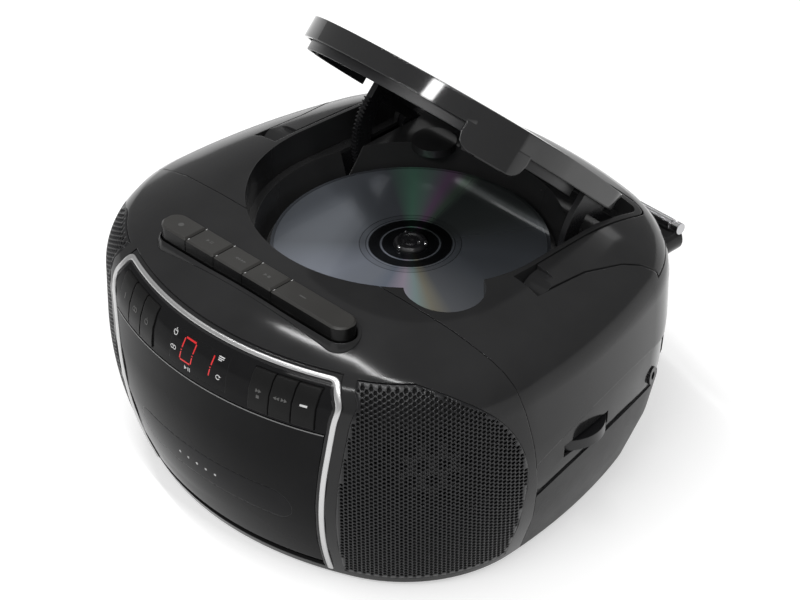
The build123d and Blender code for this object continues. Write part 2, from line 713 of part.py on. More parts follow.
points = []
for k in range(pinion_teeth):
    points += tooth_points(pinion_radius, pinion_teeth, pinion_deg + 180 + 360 / pinion_teeth * k)
gear = extrude(Plane.YZ * make_face(Polyline(*points, close=True)), arm_thick, dir=(1, 0, 0))
pinion = Pos(-arm_x - arm_thick, pinion_y, pinion_z) * gear
parts["damper_pinion"] = pinion + rod_x(1.5, -arm_x - 1, -arm_x - arm_thick - 5, pinion_y, pinion_z)
parts["damper_housing"] = ((rod_x(5, -boss_x, -boss_x - damper_reach, pinion_y, pinion_z)
                            + block(-boss_x - damper_reach, -boss_x, pinion_y - 5, pinion_y + 5, pinion_z,
                                    ledge_z - flange_thick))
                           - rod_x(1.5 + pin_clear, 0, -far, pinion_y, pinion_z))

parts["handle"] = handle

# Controls and sockets on the sides and at the back


def side_wheel(side):
    disc = rod_z(wheel_radius, wheel_z - wheel_thick / 2, wheel_z + wheel_thick / 2, side * wheel_x, wheel_y)
    return disc - rod_z(wheel_pin + pin_clear, 0, far, side * wheel_x, wheel_y)


parts["tuning_wheel"] = side_wheel(1)
parts["volume_wheel"] = side_wheel(-1)
board = block(-board_half, board_half, -15, 24, board_z, board_z + board_thick)
for side in (-1, 1):
    low = wheel_z - wheel_thick / 2 - fit_gap
    board += rod_z(6, board_z, low, side * wheel_x, wheel_y)
    board += rod_z(wheel_pin, board_z, wheel_z + wheel_thick / 2 + 1, side * wheel_x, wheel_y)
parts["main_board"] = board
knob = block(knob_x - 2.4, knob_x - 0.5, knob_y - 5, knob_y + 5, wheel_z - 4, wheel_z + 4)
knob += block(knob_x - 1, knob_x + 6, knob_y - 2, knob_y + 2, wheel_z - 1.6, wheel_z + 1.6)
parts["function_knob"] = knob
jack = jack_plane * Pos(0, 0, -jack_length / 2) * Cylinder(jack_body, jack_length)
jack_hole = jack_plane * Pos(0, 0, 1 - jack_length / 2) * Cylinder(jack_bore, jack_length)
parts["headphone_jack"] = jack - jack_hole
inlet = inlet_room & skin & block(-far, far, 70, far, 0, far)
inlet -= prism_y(Pos(inlet_x, inlet_z) * SlotOverall(15, 8)) & block(-far, far, 80, far, 0, far)
parts["mains_inlet"] = inlet

# Antenna, folded down behind the housing

post_z = antenna_z - post_radius - 0.5
post = rod_y(post_radius, 75, post_end_y, post_x, post_z)
post -= block(-far, far, 75, far, antenna_z - antenna_radii[0] - fit_gap, far)
parts["antenna_rest"] = post - skin
tube_r, mid_r, tip_r = antenna_radii
swivel = rod_y(6.2, 106.7, post_end_y, antenna_pivot_x, antenna_z)
swivel += rod_y(2, 97, 107, antenna_pivot_x, antenna_z)
tube_x = antenna_pivot_x + 3
parts["antenna_base"] = swivel - rod_x(tube_r, tube_x, far, antenna_y, antenna_z)
tube_end = antenna_tip_x - 5
parts["antenna_tube"] = (rod_x(tube_r, tube_x, tube_end, antenna_y, antenna_z)
                         - rod_x(mid_r + pin_clear, tube_x + 3, far, antenna_y, antenna_z))
parts["antenna_mid"] = (rod_x(mid_r, tube_x + 4, tube_end + 2, antenna_y, antenna_z)
                        - rod_x(tip_r + pin_clear, tube_x + 7, far, antenna_y, antenna_z))
parts["antenna_tip"] = (rod_x(tip_r, tube_x + 8, antenna_tip_x, antenna_y, antenna_z)
                        + rod_x(tube_r, tube_end + 2.5, antenna_tip_x, antenna_y, antenna_z))

# Underside

cover = column(offset(cover_plan, -fit_gap), base_z, base_z + wall)
battery_room = block(-battery_half, battery_half, 34, 76, 0, far)
cover -= battery_room
for x in (-70, 70):
    for y in (-10, 20):
        cover += rod_z(3.5, base_z, board_z, x, y)
parts["base_cover"] = cover
parts["battery_door"] = block(-battery_half + 0.3, battery_half - 0.3, 34.3, 75.7, base_z, base_z + wall)
parts["transformer"] = block(30, 70, -50, -20, base_z + wall, base_z + wall + 30)
feet = [(x, y) for x in (-foot_x, foot_x) for y in (-70, 60)]
for index, (x, y) in enumerate(feet):
    parts[f"foot_{index + 1}"] = rod_z(foot_radius, 0, base_z, x, y)

for name, shape in parts.items():
    export_step(shape, f"parts/{name}.step")
    solids = len(shape.solids())
    print(name, solids, round(shape.volume), shape.is_valid)
box = Compound(children=list(parts.values())).bounding_box()
print("nodes", len(parts), "box", box.min, box.max)
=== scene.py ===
import json
import math

import bmesh
import bpy
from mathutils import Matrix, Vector
from mathutils.bvhtree import BVHTree


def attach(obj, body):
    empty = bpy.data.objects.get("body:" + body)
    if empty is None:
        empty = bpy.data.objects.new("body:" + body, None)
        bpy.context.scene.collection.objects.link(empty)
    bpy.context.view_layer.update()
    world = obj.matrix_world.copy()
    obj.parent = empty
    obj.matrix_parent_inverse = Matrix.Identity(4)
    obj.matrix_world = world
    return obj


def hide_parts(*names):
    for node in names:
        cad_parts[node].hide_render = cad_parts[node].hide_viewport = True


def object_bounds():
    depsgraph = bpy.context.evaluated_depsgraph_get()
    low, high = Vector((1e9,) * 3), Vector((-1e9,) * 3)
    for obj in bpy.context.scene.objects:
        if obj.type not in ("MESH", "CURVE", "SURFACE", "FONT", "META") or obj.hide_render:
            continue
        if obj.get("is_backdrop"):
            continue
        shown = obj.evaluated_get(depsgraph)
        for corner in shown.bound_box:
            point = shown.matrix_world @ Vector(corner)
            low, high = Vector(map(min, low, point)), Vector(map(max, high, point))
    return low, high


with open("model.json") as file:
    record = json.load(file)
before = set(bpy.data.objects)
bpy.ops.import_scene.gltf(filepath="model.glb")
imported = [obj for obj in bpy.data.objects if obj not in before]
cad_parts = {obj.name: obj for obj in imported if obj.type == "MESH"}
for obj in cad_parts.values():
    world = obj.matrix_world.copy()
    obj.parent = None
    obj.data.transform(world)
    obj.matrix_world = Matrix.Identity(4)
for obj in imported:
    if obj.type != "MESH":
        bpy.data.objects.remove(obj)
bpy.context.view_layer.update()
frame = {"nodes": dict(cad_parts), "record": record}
MM = 0.001


# Materials

DISC_Y, DISC_RADIUS = 11.0, 60.0
DISC_GREY = (0.165, 0.18, 0.205)
# Painted rainbow sheen and a painted dark sector of shade, by angle round the disc's middle
DISC_PAINTED_LIGHT = (
    (0.0, DISC_GREY), (0.12, DISC_GREY), (0.22, (0.36, 0.39, 0.46)), (0.29, (0.36, 0.39, 0.45)),
    (0.325, (0.30, 0.34, 0.42)), (0.36, (0.60, 0.52, 0.64)), (0.385, (0.42, 0.56, 0.56)),
    (0.405, (0.40, 0.38, 0.30)), (0.43, (0.22, 0.23, 0.25)), (0.52, DISC_GREY), (0.60, DISC_GREY),
    (0.70, (0.08, 0.09, 0.09)), (0.785, (0.06, 0.07, 0.07)), (0.805, (0.14, 0.20, 0.16)),
    (0.826, (0.34, 0.20, 0.36)), (0.848, (0.26, 0.36, 0.34)), (0.872, (0.20, 0.44, 0.32)), (0.905, DISC_GREY),
    (1.0, DISC_GREY))
DISC_RINGS = (
    (0.0, 0.05), (0.203, 0.05), (0.207, 1.0), (0.216, 1.0), (0.220, 0.05), (0.298, 0.05), (0.303, 1.0),
    (0.314, 1.0), (0.319, 0.1), (0.324, 0.85), (0.360, 0.85), (0.364, 0.2), (0.370, 1.0), (0.972, 1.0),
    (0.978, 0.45), (1.0, 0.7))
# Painted shade behind the grilles: near black, paler in a spot in front of each speaker's dust cap
SPEAKER_SPOT, SPEAKER_REACH = (97.3, -72.3, 71.8), 40
SHADE_SHEET_GREYS = ((0.0, 0.075), (0.20, 0.06), (0.27, 0.05), (0.31, 0.07), (0.35, 0.010), (0.80, 0.009),
                 (0.90, 0.004), (1.0, 0.003))
COLOUR_SCALE, GLOSS_SCALE, GLOW_SCALE, FLOOR_SCALE = 35.0, 90.0, 300.0, 3.0
GLOSS_SPREAD = 0.15
GLOW_DIM = 0.85
GRAIN_DEPTH = 0.1


def new_material(name):
    """A material with its shader and its node tree."""
    material = bpy.data.materials.new(name)
    material.use_nodes = True
    tree = material.node_tree
    return material, tree.nodes["Principled BSDF"], tree


def noise(tree, scale, detail=3.0):
    """Noise in object coordinates, with its scale per metre."""
    coords = tree.nodes.new("ShaderNodeTexCoord")
    texture = tree.nodes.new("ShaderNodeTexNoise")
    texture.inputs["Scale"].default_value = scale
    texture.inputs["Detail"].default_value = detail
    tree.links.new(coords.outputs["Object"], texture.inputs["Vector"])
    return texture.outputs["Fac"]


def ramp(tree, value, stops):
    """A colour ramp through (position, colour) stops."""
    node = tree.nodes.new("ShaderNodeValToRGB")
    while len(node.color_ramp.elements) < len(stops):
        node.color_ramp.elements.new(0.5)
    for element, (position, colour) in zip(node.color_ramp.elements, stops):
        element.position = position
        element.color = (*colour, 1)
    tree.links.new(value, node.inputs["Fac"])
    return node.outputs["Color"]


def greys(stops):
    """The stops of a grey ramp, from (position, shade) pairs."""
    return [(position, (shade,) * 3) for position, shade in stops]


def spread(tree, value, low, high):
    """Maps a value of 0 to 1 to another range."""
    node = tree.nodes.new("ShaderNodeMapRange")
    node.inputs["To Min"].default_value = low
    node.inputs["To Max"].default_value = high
    tree.links.new(value, node.inputs["Value"])
    return node.outputs["Result"]


def share_of(tree, value, low, high):
    """Maps a value from a range to 0 to 1."""
    node = tree.nodes.new("ShaderNodeMapRange")
    node.inputs["From Min"].default_value = low
    node.inputs["From Max"].default_value = high
    tree.links.new(value, node.inputs["Value"])
    return node.outputs["Result"]


def vector_step(tree, operation, value, other=(0, 0, 0)):
    """One step of vector arithmetic, whose second vector is fixed."""
    node = tree.nodes.new("ShaderNodeVectorMath")
    node.operation = operation
    node.inputs[1].default_value = other
    tree.links.new(value, node.inputs[0])
    return node.outputs["Value" if operation in ("LENGTH", "DISTANCE") else "Vector"]


def surface(name, colour, rough, grain=2500.0, bump=0.02, metal=0.0, specular=0.5, round_edges=0.0,
            mottle=0.12):
    """Moulded plastic, rubber or metal: slight colour and gloss variation, a fine grain and soft edges."""
    material, shader, tree = new_material(name)
    shader.inputs["Metallic"].default_value = metal
    shader.inputs["Specular IOR Level"].default_value = specular
    dark = tuple(c * (1 - mottle) for c in colour)
    light = tuple(min(c * (1 + mottle), 1) for c in colour)
    tint = ramp(tree, noise(tree, COLOUR_SCALE), ((0.3, dark), (0.7, light)))
    tree.links.new(tint, shader.inputs["Base Color"])
    low, high = rough * (1 - GLOSS_SPREAD), rough * (1 + GLOSS_SPREAD)
    tree.links.new(spread(tree, noise(tree, GLOSS_SCALE, 4.0), low, high), shader.inputs["Roughness"])
    grain_bump = tree.nodes.new("ShaderNodeBump")
    grain_bump.inputs["Strength"].default_value = bump
    grain_bump.inputs["Distance"].default_value = GRAIN_DEPTH * MM
    tree.links.new(noise(tree, grain, 2.0), grain_bump.inputs["Height"])
    if round_edges:
        bevel = tree.nodes.new("ShaderNodeBevel")
        bevel.samples = 4
        bevel.inputs["Radius"].default_value = round_edges * MM
        tree.links.new(bevel.outputs["Normal"], grain_bump.inputs["Normal"])
    tree.links.new(grain_bump.outputs["Normal"], shader.inputs["Normal"])
    return material


def disc_material():
    """Disc: blue-grey metal with rings round a clear middle, and streaks of painted rainbow sheen and painted
    shade that fan out from it.
    """
    material, shader, tree = new_material("disc_face")
    coords = tree.nodes.new("ShaderNodeTexCoord")
    split = tree.nodes.new("ShaderNodeSeparateXYZ")
    from_axis = vector_step(tree, "SUBTRACT", coords.outputs["Object"], (0, DISC_Y * MM, 0))
    tree.links.new(from_axis, split.inputs[0])
    angle = tree.nodes.new("ShaderNodeMath")
    angle.operation = "ARCTAN2"
    tree.links.new(split.outputs["Y"], angle.inputs[0])
    tree.links.new(split.outputs["X"], angle.inputs[1])
    # Painted sheen and painted shade, by angle round the middle
    painted_light = ramp(tree, share_of(tree, angle.outputs[0], -math.pi, math.pi), DISC_PAINTED_LIGHT)
    flat = tree.nodes.new("ShaderNodeCombineXYZ")
    tree.links.new(split.outputs["X"], flat.inputs["X"])
    tree.links.new(split.outputs["Y"], flat.inputs["Y"])
    distance = vector_step(tree, "LENGTH", flat.outputs[0])
    rings = ramp(tree, share_of(tree, distance, 0.0, DISC_RADIUS * MM), greys(DISC_RINGS))
    tint = tree.nodes.new("ShaderNodeMix")
    tint.data_type = "RGBA"
    tint.blend_type = "MULTIPLY"
    tint.inputs["Factor"].default_value = 1.0
    tree.links.new(painted_light, tint.inputs["A"])
    tree.links.new(rings, tint.inputs["B"])
    tree.links.new(tint.outputs["Result"], shader.inputs["Base Color"])
    shader.inputs["Metallic"].default_value = 0.6
    shader.inputs["Roughness"].default_value = 0.22
    shader.inputs["Coat Weight"].default_value = 0.3
    shader.inputs["Coat Roughness"].default_value = 0.04
    return material


def glow(name, colour, strength):
    """A lit segment of the display."""
    material, shader, tree = new_material(name)
    shader.inputs["Emission Strength"].default_value = strength
    shader.inputs["Roughness"].default_value = 0.4
    dim = tuple(c * GLOW_DIM for c in colour)
    lit = ramp(tree, noise(tree, GLOW_SCALE), ((0.3, dim), (0.7, colour)))
    tree.links.new(lit, shader.inputs["Emission Color"])
    tree.links.new(lit, shader.inputs["Base Color"])
    return material


def shade_sheet_material():
    """Painted shade behind the grille's holes: a near-black sheet, paler in a spot in front of each speaker's
    dust cap.
    """
    material, shader, tree = new_material("grille_shade_sheet")
    coords = tree.nodes.new("ShaderNodeTexCoord")
    folded = vector_step(tree, "ABSOLUTE", coords.outputs["Object"])
    distance = vector_step(tree, "DISTANCE", folded, [abs(c) * MM for c in SPEAKER_SPOT])
    reach = share_of(tree, distance, 0.0, SPEAKER_REACH * MM)
    tree.links.new(ramp(tree, reach, greys(SHADE_SHEET_GREYS)), shader.inputs["Base Color"])
    shader.inputs["Roughness"].default_value = 0.7
    shader.inputs["Specular IOR Level"].default_value = 0.2
    return material


materials = {
    "housing": surface("housing", (0.021, 0.021, 0.0215), 0.12, bump=0.01, specular=0.19, round_edges=0.5),
    "side": surface("side_texture", (0.019, 0.019, 0.0195), 0.42, grain=900.0, bump=0.9, specular=0.2),
    "deck": surface("deck", (0.022, 0.022, 0.0225), 0.26, bump=0.05, specular=0.4, round_edges=0.4),
    "lid": surface("lid", (0.014, 0.014, 0.0145), 0.05, bump=0.0, specular=0.6, round_edges=0.9),
    "lid_inside": surface("lid_inside", (0.014, 0.014, 0.015), 0.32, bump=0.2, specular=0.35,
                          round_edges=0.4),
    "keys": surface("keys", (0.034, 0.033, 0.031), 0.40, grain=3000.0, bump=0.25, specular=0.35,
                    round_edges=0.5),
    "key_side": surface("key_side", (0.004, 0.004, 0.004), 0.22, bump=0.01, specular=0.15, round_edges=0.4),
    "buttons": surface("buttons", (0.012, 0.012, 0.012), 0.30, bump=0.05, specular=0.08, round_edges=0.5),
    "panel": surface("panel", (0.011, 0.011, 0.0115), 0.09, bump=0.0, specular=0.045, round_edges=0.4),
    "trim": surface("trim", (0.58, 0.58, 0.58), 0.30, metal=0.85, bump=0.03, mottle=0.05),
    "grille": surface("grille", (0.008, 0.008, 0.009), 0.32, specular=0.35),
    # Painted shade behind the grille holes
    "shade_sheet": shade_sheet_material(),
    "cone": surface("cone", (0.045, 0.045, 0.047), 0.65, grain=900.0, bump=0.4, specular=0.3),
    "disc": disc_material(),
    "steel": surface("steel", (0.42, 0.42, 0.43), 0.30, metal=1.0, round_edges=0.3),
    "chrome": surface("chrome", (0.50, 0.50, 0.51), 0.16, metal=1.0, bump=0.0, round_edges=0.2, mottle=0.03),
    "hub": surface("hub", (0.010, 0.010, 0.011), 0.28, bump=0.05, specular=0.4, round_edges=0.4),
    "rubber": surface("rubber", (0.012, 0.012, 0.012), 0.75, grain=1800.0, bump=0.4, specular=0.25),
    "board": surface("board", (0.05, 0.13, 0.06), 0.45, grain=600.0, bump=0.2, specular=0.4),
    "shield": surface("shield", (0.30, 0.30, 0.30), 0.40, metal=0.9, bump=0.1),
    "window": surface("window", (0.014, 0.014, 0.015), 0.10, bump=0.0, specular=0.04, round_edges=0.8),
    "digit": glow("digit", (0.40, 0.010, 0.012), 0.9),
    # Pale print, also used for the painted highlights where the keys meet
    "pale_print_and_glint": surface("pale_print_and_glint", (0.62, 0.62, 0.62), 0.5, mottle=0.05),
    "faint": surface("faint_ink", (0.075, 0.075, 0.073), 0.4, mottle=0.05),
    # Grey metal band of painted highlight along the door's upper edge
    "door_edge_highlight": surface("door_edge_highlight", (0.20, 0.20, 0.20), 0.3, metal=0.6, mottle=0.05),
}


# The housing's skin, as a function of direction and height

FRONT_Y = -113.0
OUTLINE_RADII = (162.0, 76.0, 290.0, 63.5)
OUTLINE_TURNS = (25.5, 65.5, 17.5, 60.0)
BASE_Z, BELT_Z, SHOULDER_Z, CROWN_Z = 3.0, 69.0, 90.0, 121.0
BASE_DRAW = 15.0
SHOULDER_RADIUS = 24.0
SHOULDER_TURN = math.radians(60.0)
CROWN_RADIUS = ((CROWN_Z - SHOULDER_Z - SHOULDER_RADIUS * math.sin(SHOULDER_TURN))
                / (1 - math.sin(SHOULDER_TURN)))
CROWN_INSET = SHOULDER_RADIUS * (1 - math.cos(SHOULDER_TURN)) + CROWN_RADIUS * math.cos(SHOULDER_TURN)
BASE_RADIUS = ((BELT_Z - BASE_Z) ** 2 + BASE_DRAW ** 2) / (2 * BASE_DRAW)
SHOULDER_END = SHOULDER_RADIUS * (1 - math.cos(SHOULDER_TURN))
ARC_SLACK = 0.002


def outline_arcs():
    """Centre, radius, start and end direction of each arc on the right half of the outline, in mm."""
    arcs = []
    x, y, turned = 0.0, FRONT_Y, math.radians(-90)
    for radius, turn in zip(OUTLINE_RADII, OUTLINE_TURNS):
        cx = x - radius * math.cos(turned)
        cy = y - radius * math.sin(turned)
        arcs.append((cx, cy, radius, turned, turned + math.radians(turn)))
        turned += math.radians(turn)
        x = cx + radius * math.cos(turned)
        y = cy + radius * math.sin(turned)
    last = x / math.cos(turned)
    arcs.append((0.0, y - last * math.sin(turned), last, turned, math.pi / 2))
    return arcs


ARCS = outline_arcs()


def in_sector(arc, x, y, slack=1e-6):
    """Whether a point of the right half lies in the sector of one arc of the outline."""
    cx, cy, radius, start, end = arc
    return start - slack <= math.atan2(y - cy, x - cx) <= end + slack


def inset_at(z):
    """How far the skin lies inside the widest outline at this height."""
    if z < BELT_Z:
        return BASE_RADIUS - math.sqrt(BASE_RADIUS ** 2 - (BELT_Z - z) ** 2)
    rise = z - SHOULDER_Z
    bend = SHOULDER_RADIUS * math.sin(SHOULDER_TURN)
    if rise < 0:
        return 0.0
    if rise < bend:
        return SHOULDER_RADIUS - math.sqrt(SHOULDER_RADIUS ** 2 - rise ** 2)
    lift = rise - bend + CROWN_RADIUS * math.sin(SHOULDER_TURN)
    return CROWN_INSET - math.sqrt(max(CROWN_RADIUS ** 2 - lift ** 2, 0))


def skin_height(x, y):
    """Height of the smooth skin's upper side over a point."""
    x = abs(x)
    inset = min(arc[2] - math.hypot(x - arc[0], y - arc[1])
                for arc in ARCS if in_sector(arc, x, y, ARC_SLACK))
    if inset < SHOULDER_END:
        return SHOULDER_Z + math.sqrt(SHOULDER_RADIUS ** 2 - (SHOULDER_RADIUS - inset) ** 2)
    return CROWN_Z - CROWN_RADIUS + math.sqrt(CROWN_RADIUS ** 2 - max(CROWN_INSET - inset, 0) ** 2)


def skin_normal(x, y, z):
    """Outward normal of the smooth skin near a point, and how far the point lies under it."""
    side = -1 if x < 0 else 1
    x = abs(x)
    best = None
    for arc in ARCS:
        if not in_sector(arc, x, y, ARC_SLACK):
            continue
        cx, cy, radius = arc[:3]
        inset = radius - math.hypot(x - cx, y - cy)
        gap = inset - inset_at(z)
        if best is None or abs(gap) < abs(best[0]):
            best = (gap, math.atan2(y - cy, x - cx), inset)
    if best is None or best[2] > CROWN_INSET:
        return Vector((0, 0, 1)), CROWN_Z - z
    gap, direction, inset = best
    if z < BELT_Z:
        tilt = -math.asin((BELT_Z - z) / BASE_RADIUS)
    elif z < SHOULDER_Z:
        tilt = 0.0
    elif inset < SHOULDER_END:
        tilt = math.asin(min(max(z - SHOULDER_Z, 0) / SHOULDER_RADIUS, 1))
    else:
        tilt = math.acos(min(max((CROWN_INSET - inset) / CROWN_RADIUS, 0), 1))
        gap = min(abs(gap), abs(CROWN_Z - CROWN_RADIUS * (1 - math.sin(tilt)) - z))
    normal = Vector((side * math.cos(direction) * math.cos(tilt), math.sin(direction) * math.cos(tilt),
                     math.sin(tilt)))
    return normal, gap


# Pieces made from the solids: welded, with soft shading and the smooth skin's own normals

SLOTS = {entry["node"]: entry["material_slot"] for entry in frame["record"]["subparts"]}
SHARP_EDGE = 32.0
WELD_REACH, LEAST_EDGE = 0.002, 0.0001
SKIN_REACH, FACE_SAG = 1.0, 0.6
SKIN_ANGLE = math.cos(math.radians(22))


def body_of(node):
    """The body that a node belongs to."""
    for body, members in frame["record"]["behaviour"]["bodies"].items():
        if node in members:
            return body


def place_piece(name, mesh, material, node, stands):
    """A piece that rides on a node's body, and may stand for the node."""
    piece = bpy.data.objects.new(name, mesh)
    bpy.context.scene.collection.objects.link(piece)
    mesh.materials.clear()
    mesh.materials.append(materials[material])
    body, slot = body_of(node), SLOTS[node]
    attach(piece, body)
    if stands:
        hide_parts(node)
    return piece


def add_piece(name, vertices, faces, material, node, stands=False):
    """A new piece from points in metres."""
    mesh = bpy.data.meshes.new(name)
    mesh.from_pydata(vertices, [], faces)
    mesh.update()
    return place_piece(name, mesh, material, node, stands)


def turned_outwards(piece):
    """Makes all faces of a closed piece look outwards."""
    form = bmesh.new()
    form.from_mesh(piece.data)
    bmesh.ops.recalc_face_normals(form, faces=form.faces)
    form.to_mesh(piece.data)
    form.free()
    return piece


def soft_piece(name, points, faces, material, node, stands=False, sharp=40.0):
    """A closed piece from points in millimetres, with soft shading up to an angle."""
    vertices = [Vector(spot) * MM for spot in points]
    piece = turned_outwards(add_piece(name, vertices, faces, material, node, stands))
    piece.data.polygons.foreach_set("use_smooth", [True] * len(piece.data.polygons))
    piece.data.set_sharp_from_angle(angle=math.radians(sharp))


def welded(node):
    """A copy of a node's mesh with its points joined and its edges over an angle kept sharp."""
    form = bmesh.new()
    form.from_mesh(frame["nodes"][node].data)
    bmesh.ops.remove_doubles(form, verts=form.verts, dist=WELD_REACH * MM)
    bmesh.ops.dissolve_degenerate(form, edges=form.edges, dist=LEAST_EDGE * MM)
    limit = math.radians(SHARP_EDGE)
    for face in form.faces:
        face.smooth = True
    for edge in form.edges:
        edge.smooth = len(edge.link_faces) == 2 and edge.calc_face_angle(math.pi) < limit
    return form


def as_mesh(form, name):
    """The mesh of an edited form."""
    mesh = bpy.data.meshes.new(name)
    form.to_mesh(mesh)
    form.free()
    return mesh


def skinned(mesh):
    """Gives the faces that lie on the housing's skin the normals of the smooth skin."""
    normals = [Vector(corner.vector) for corner in mesh.corner_normals]
    for polygon in mesh.polygons:
        normal, gap = skin_normal(*(polygon.center / MM))
        if abs(gap) > SKIN_REACH + FACE_SAG or normal.dot(polygon.normal) < SKIN_ANGLE:
            continue
        for loop in polygon.loop_indices:
            normal, gap = skin_normal(*(mesh.vertices[mesh.loops[loop].vertex_index].co / MM))
            if abs(gap) < SKIN_REACH:
                normals[loop] = normal
    mesh.normals_split_custom_set(normals)


def smooth_copy(node, material, on_skin):
    """A node's own shape with soft shading, standing for the node."""
    mesh = as_mesh(welded(node), f"{node}_smooth")
    if on_skin:
        skinned(mesh)
    return place_piece(f"{node}_smooth", mesh, material, node, True)


LOOKS = {
    "front_shell": ("housing", True), "rear_shell": ("housing", True), "antenna_rest": ("housing", False),
    "control_panel": ("panel", True), "display_module": ("panel", True), "cassette_door": ("panel", True),
    "door_window": ("window", True), "handle": ("housing", True), "mains_inlet": ("hub", True),
    "base_cover": ("deck", False), "battery_door": ("deck", False), "cd_deck": ("deck", False),
    "lid_inner": ("lid_inside", False), "lid_arm_left": ("hub", False),
    "lid_arm_right": ("hub", False), "damper_pinion": ("hub", False), "damper_housing": ("hub", False),
    "disc": ("disc", False), "spindle_motor": ("steel", False),
    "sled_rails": ("steel", False), "laser_sled": ("deck", False), "tape_deck": ("deck", False),
    "tape_head": ("steel", False), "capstan": ("steel", False), "pinch_roller": ("rubber", False),
    "reel_left": ("hub", False), "reel_right": ("hub", False), "cassette_carrier": ("deck", False),
    "speaker_left": ("cone", False), "speaker_right": ("cone", False), "tuning_wheel": ("hub", False),
    "volume_wheel": ("hub", False), "function_knob": ("hub", False), "headphone_jack": ("hub", False),
    "main_board": ("board", False), "transformer": ("shield", False), "antenna_base": ("hub", False),
    "antenna_tube": ("chrome", False), "antenna_mid": ("chrome", False), "antenna_tip": ("chrome", False),
}
for index in range(1, 5):
    LOOKS[f"foot_{index}"] = ("rubber", False)
for index in range(1, 6):
    LOOKS[f"key_{index}"] = ("keys", False)
for side in ("left", "right"):
    for index in range(1, 4):
        LOOKS[f"button_{side}_{index}"] = ("buttons", True)

pieces = {node: smooth_copy(node, look, on_skin) for node, (look, on_skin) in LOOKS.items()}

SIDE_TEXTURE_TOP, SIDE_TEXTURE_X, SIDE_TEXTURE_TILT = 47.2, 50, 0.2
KEY_TOP_TILT = 0.6

rear_mesh = pieces["rear_shell"].data
rear_mesh.materials.append(materials["side"])
for polygon in rear_mesh.polygons:
    highest = max((rear_mesh.vertices[k].co / MM).z for k in polygon.vertices)
    sideways = abs(polygon.center.x) > SIDE_TEXTURE_X * MM and polygon.normal.z < SIDE_TEXTURE_TILT
    if sideways and highest < SIDE_TEXTURE_TOP:
        polygon.material_index = 1

for index in range(1, 6):
    key_mesh = pieces[f"key_{index}"].data
    key_mesh.materials.append(materials["key_side"])
    for polygon in key_mesh.polygons:
        polygon.material_index = 0 if polygon.normal.z > KEY_TOP_TILT else 1


# Perforated grilles: a honeycomb of holes that run square to the corner of the housing

GRILLE_PITCH = 2.02
GRILLE_HOLE = 0.70
GRILLE_THICK = 0.9
GRILLE_DIMPLE = 0.22
GRILLE_MARGIN = 4.6
GRILLE_SUNK = 0.05
GRILLE_EDGE = 0.25
HOLE_BAR, HOLE_LEAST = 0.5, 0.4
# Depth and reach of the sheet of painted shade behind the holes
SHADE_SHEET_GAP, SHADE_SHEET_REACH = 0.1, 0.8
BORDER_STEPS = 60
TRIM_EDGE = ((55.5, 5.5), (69.4, 99.4), (63.0, 109.8))
GRILLE_LOW, GRILLE_TOP = 6.0, 109.0
GRILLE_ARC = ((-31.0, 55.0), (-44.5, 87.0), (-72.0, 109.0))
DIAGONAL = math.sqrt(0.5)


def skin_along(across, z, depth):
    """Point under the skin at this place across the corner, looking straight at the corner."""
    inset = inset_at(z) + depth
    for arc in ARCS:
        cx, cy, radius = arc[:3]
        reach = radius - inset
        sideways = across - DIAGONAL * (cx + cy)
        if abs(sideways) > reach:
            continue
        forward = DIAGONAL * (cx - cy) + math.sqrt(reach ** 2 - sideways ** 2)
        x = DIAGONAL * (across + forward)
        y = DIAGONAL * (across - forward)
        if in_sector(arc, x, y):
            return x, y
    return None


def front_y(x, z):
    """Depth of the skin at the front, at this place across and up."""
    for arc in ARCS[:2]:
        cx, cy, radius = arc[:3]
        reach = radius - inset_at(z)
        if abs(x - cx) <= reach:
            y = cy - math.sqrt(reach ** 2 - (x - cx) ** 2)
            if in_sector(arc, x, y):
                return y
    return None


def side_x(y, z):
    """Half width of the skin at this depth and height."""
    for arc in ARCS[1:3]:
        cx, cy, radius = arc[:3]
        reach = radius - inset_at(z)
        if abs(y - cy) <= reach:
            x = cx + math.sqrt(reach ** 2 - (y - cy) ** 2)
            if in_sector(arc, x, y):
                return x
    return None


def circle_through(a, b, c):
    """Centre and radius of the circle through three points."""
    d = 2 * (a[0] * (b[1] - c[1]) + b[0] * (c[1] - a[1]) + c[0] * (a[1] - b[1]))
    sa, sb, sc = (p[0] ** 2 + p[1] ** 2 for p in (a, b, c))
    x = (sa * (b[1] - c[1]) + sb * (c[1] - a[1]) + sc * (a[1] - b[1])) / d
    y = (sa * (c[0] - b[0]) + sb * (a[0] - c[0]) + sc * (b[0] - a[0])) / d
    return x, y, math.hypot(a[0] - x, a[1] - y)


def grown_edge(a, b, grow):
    """An edge of the trim moved outwards."""
    dx, dz = b[0] - a[0], b[1] - a[1]
    length = math.hypot(dx, dz)
    shift = (dz / length * grow, -dx / length * grow)
    return (a[0] + shift[0], a[1] + shift[1]), (b[0] + shift[0], b[1] + shift[1])


def line_at(edge, z):
    """Where an edge's line reaches a height."""
    (x0, z0), (x1, z1) = edge
    return x0 + (x1 - x0) * (z - z0) / (z1 - z0), z


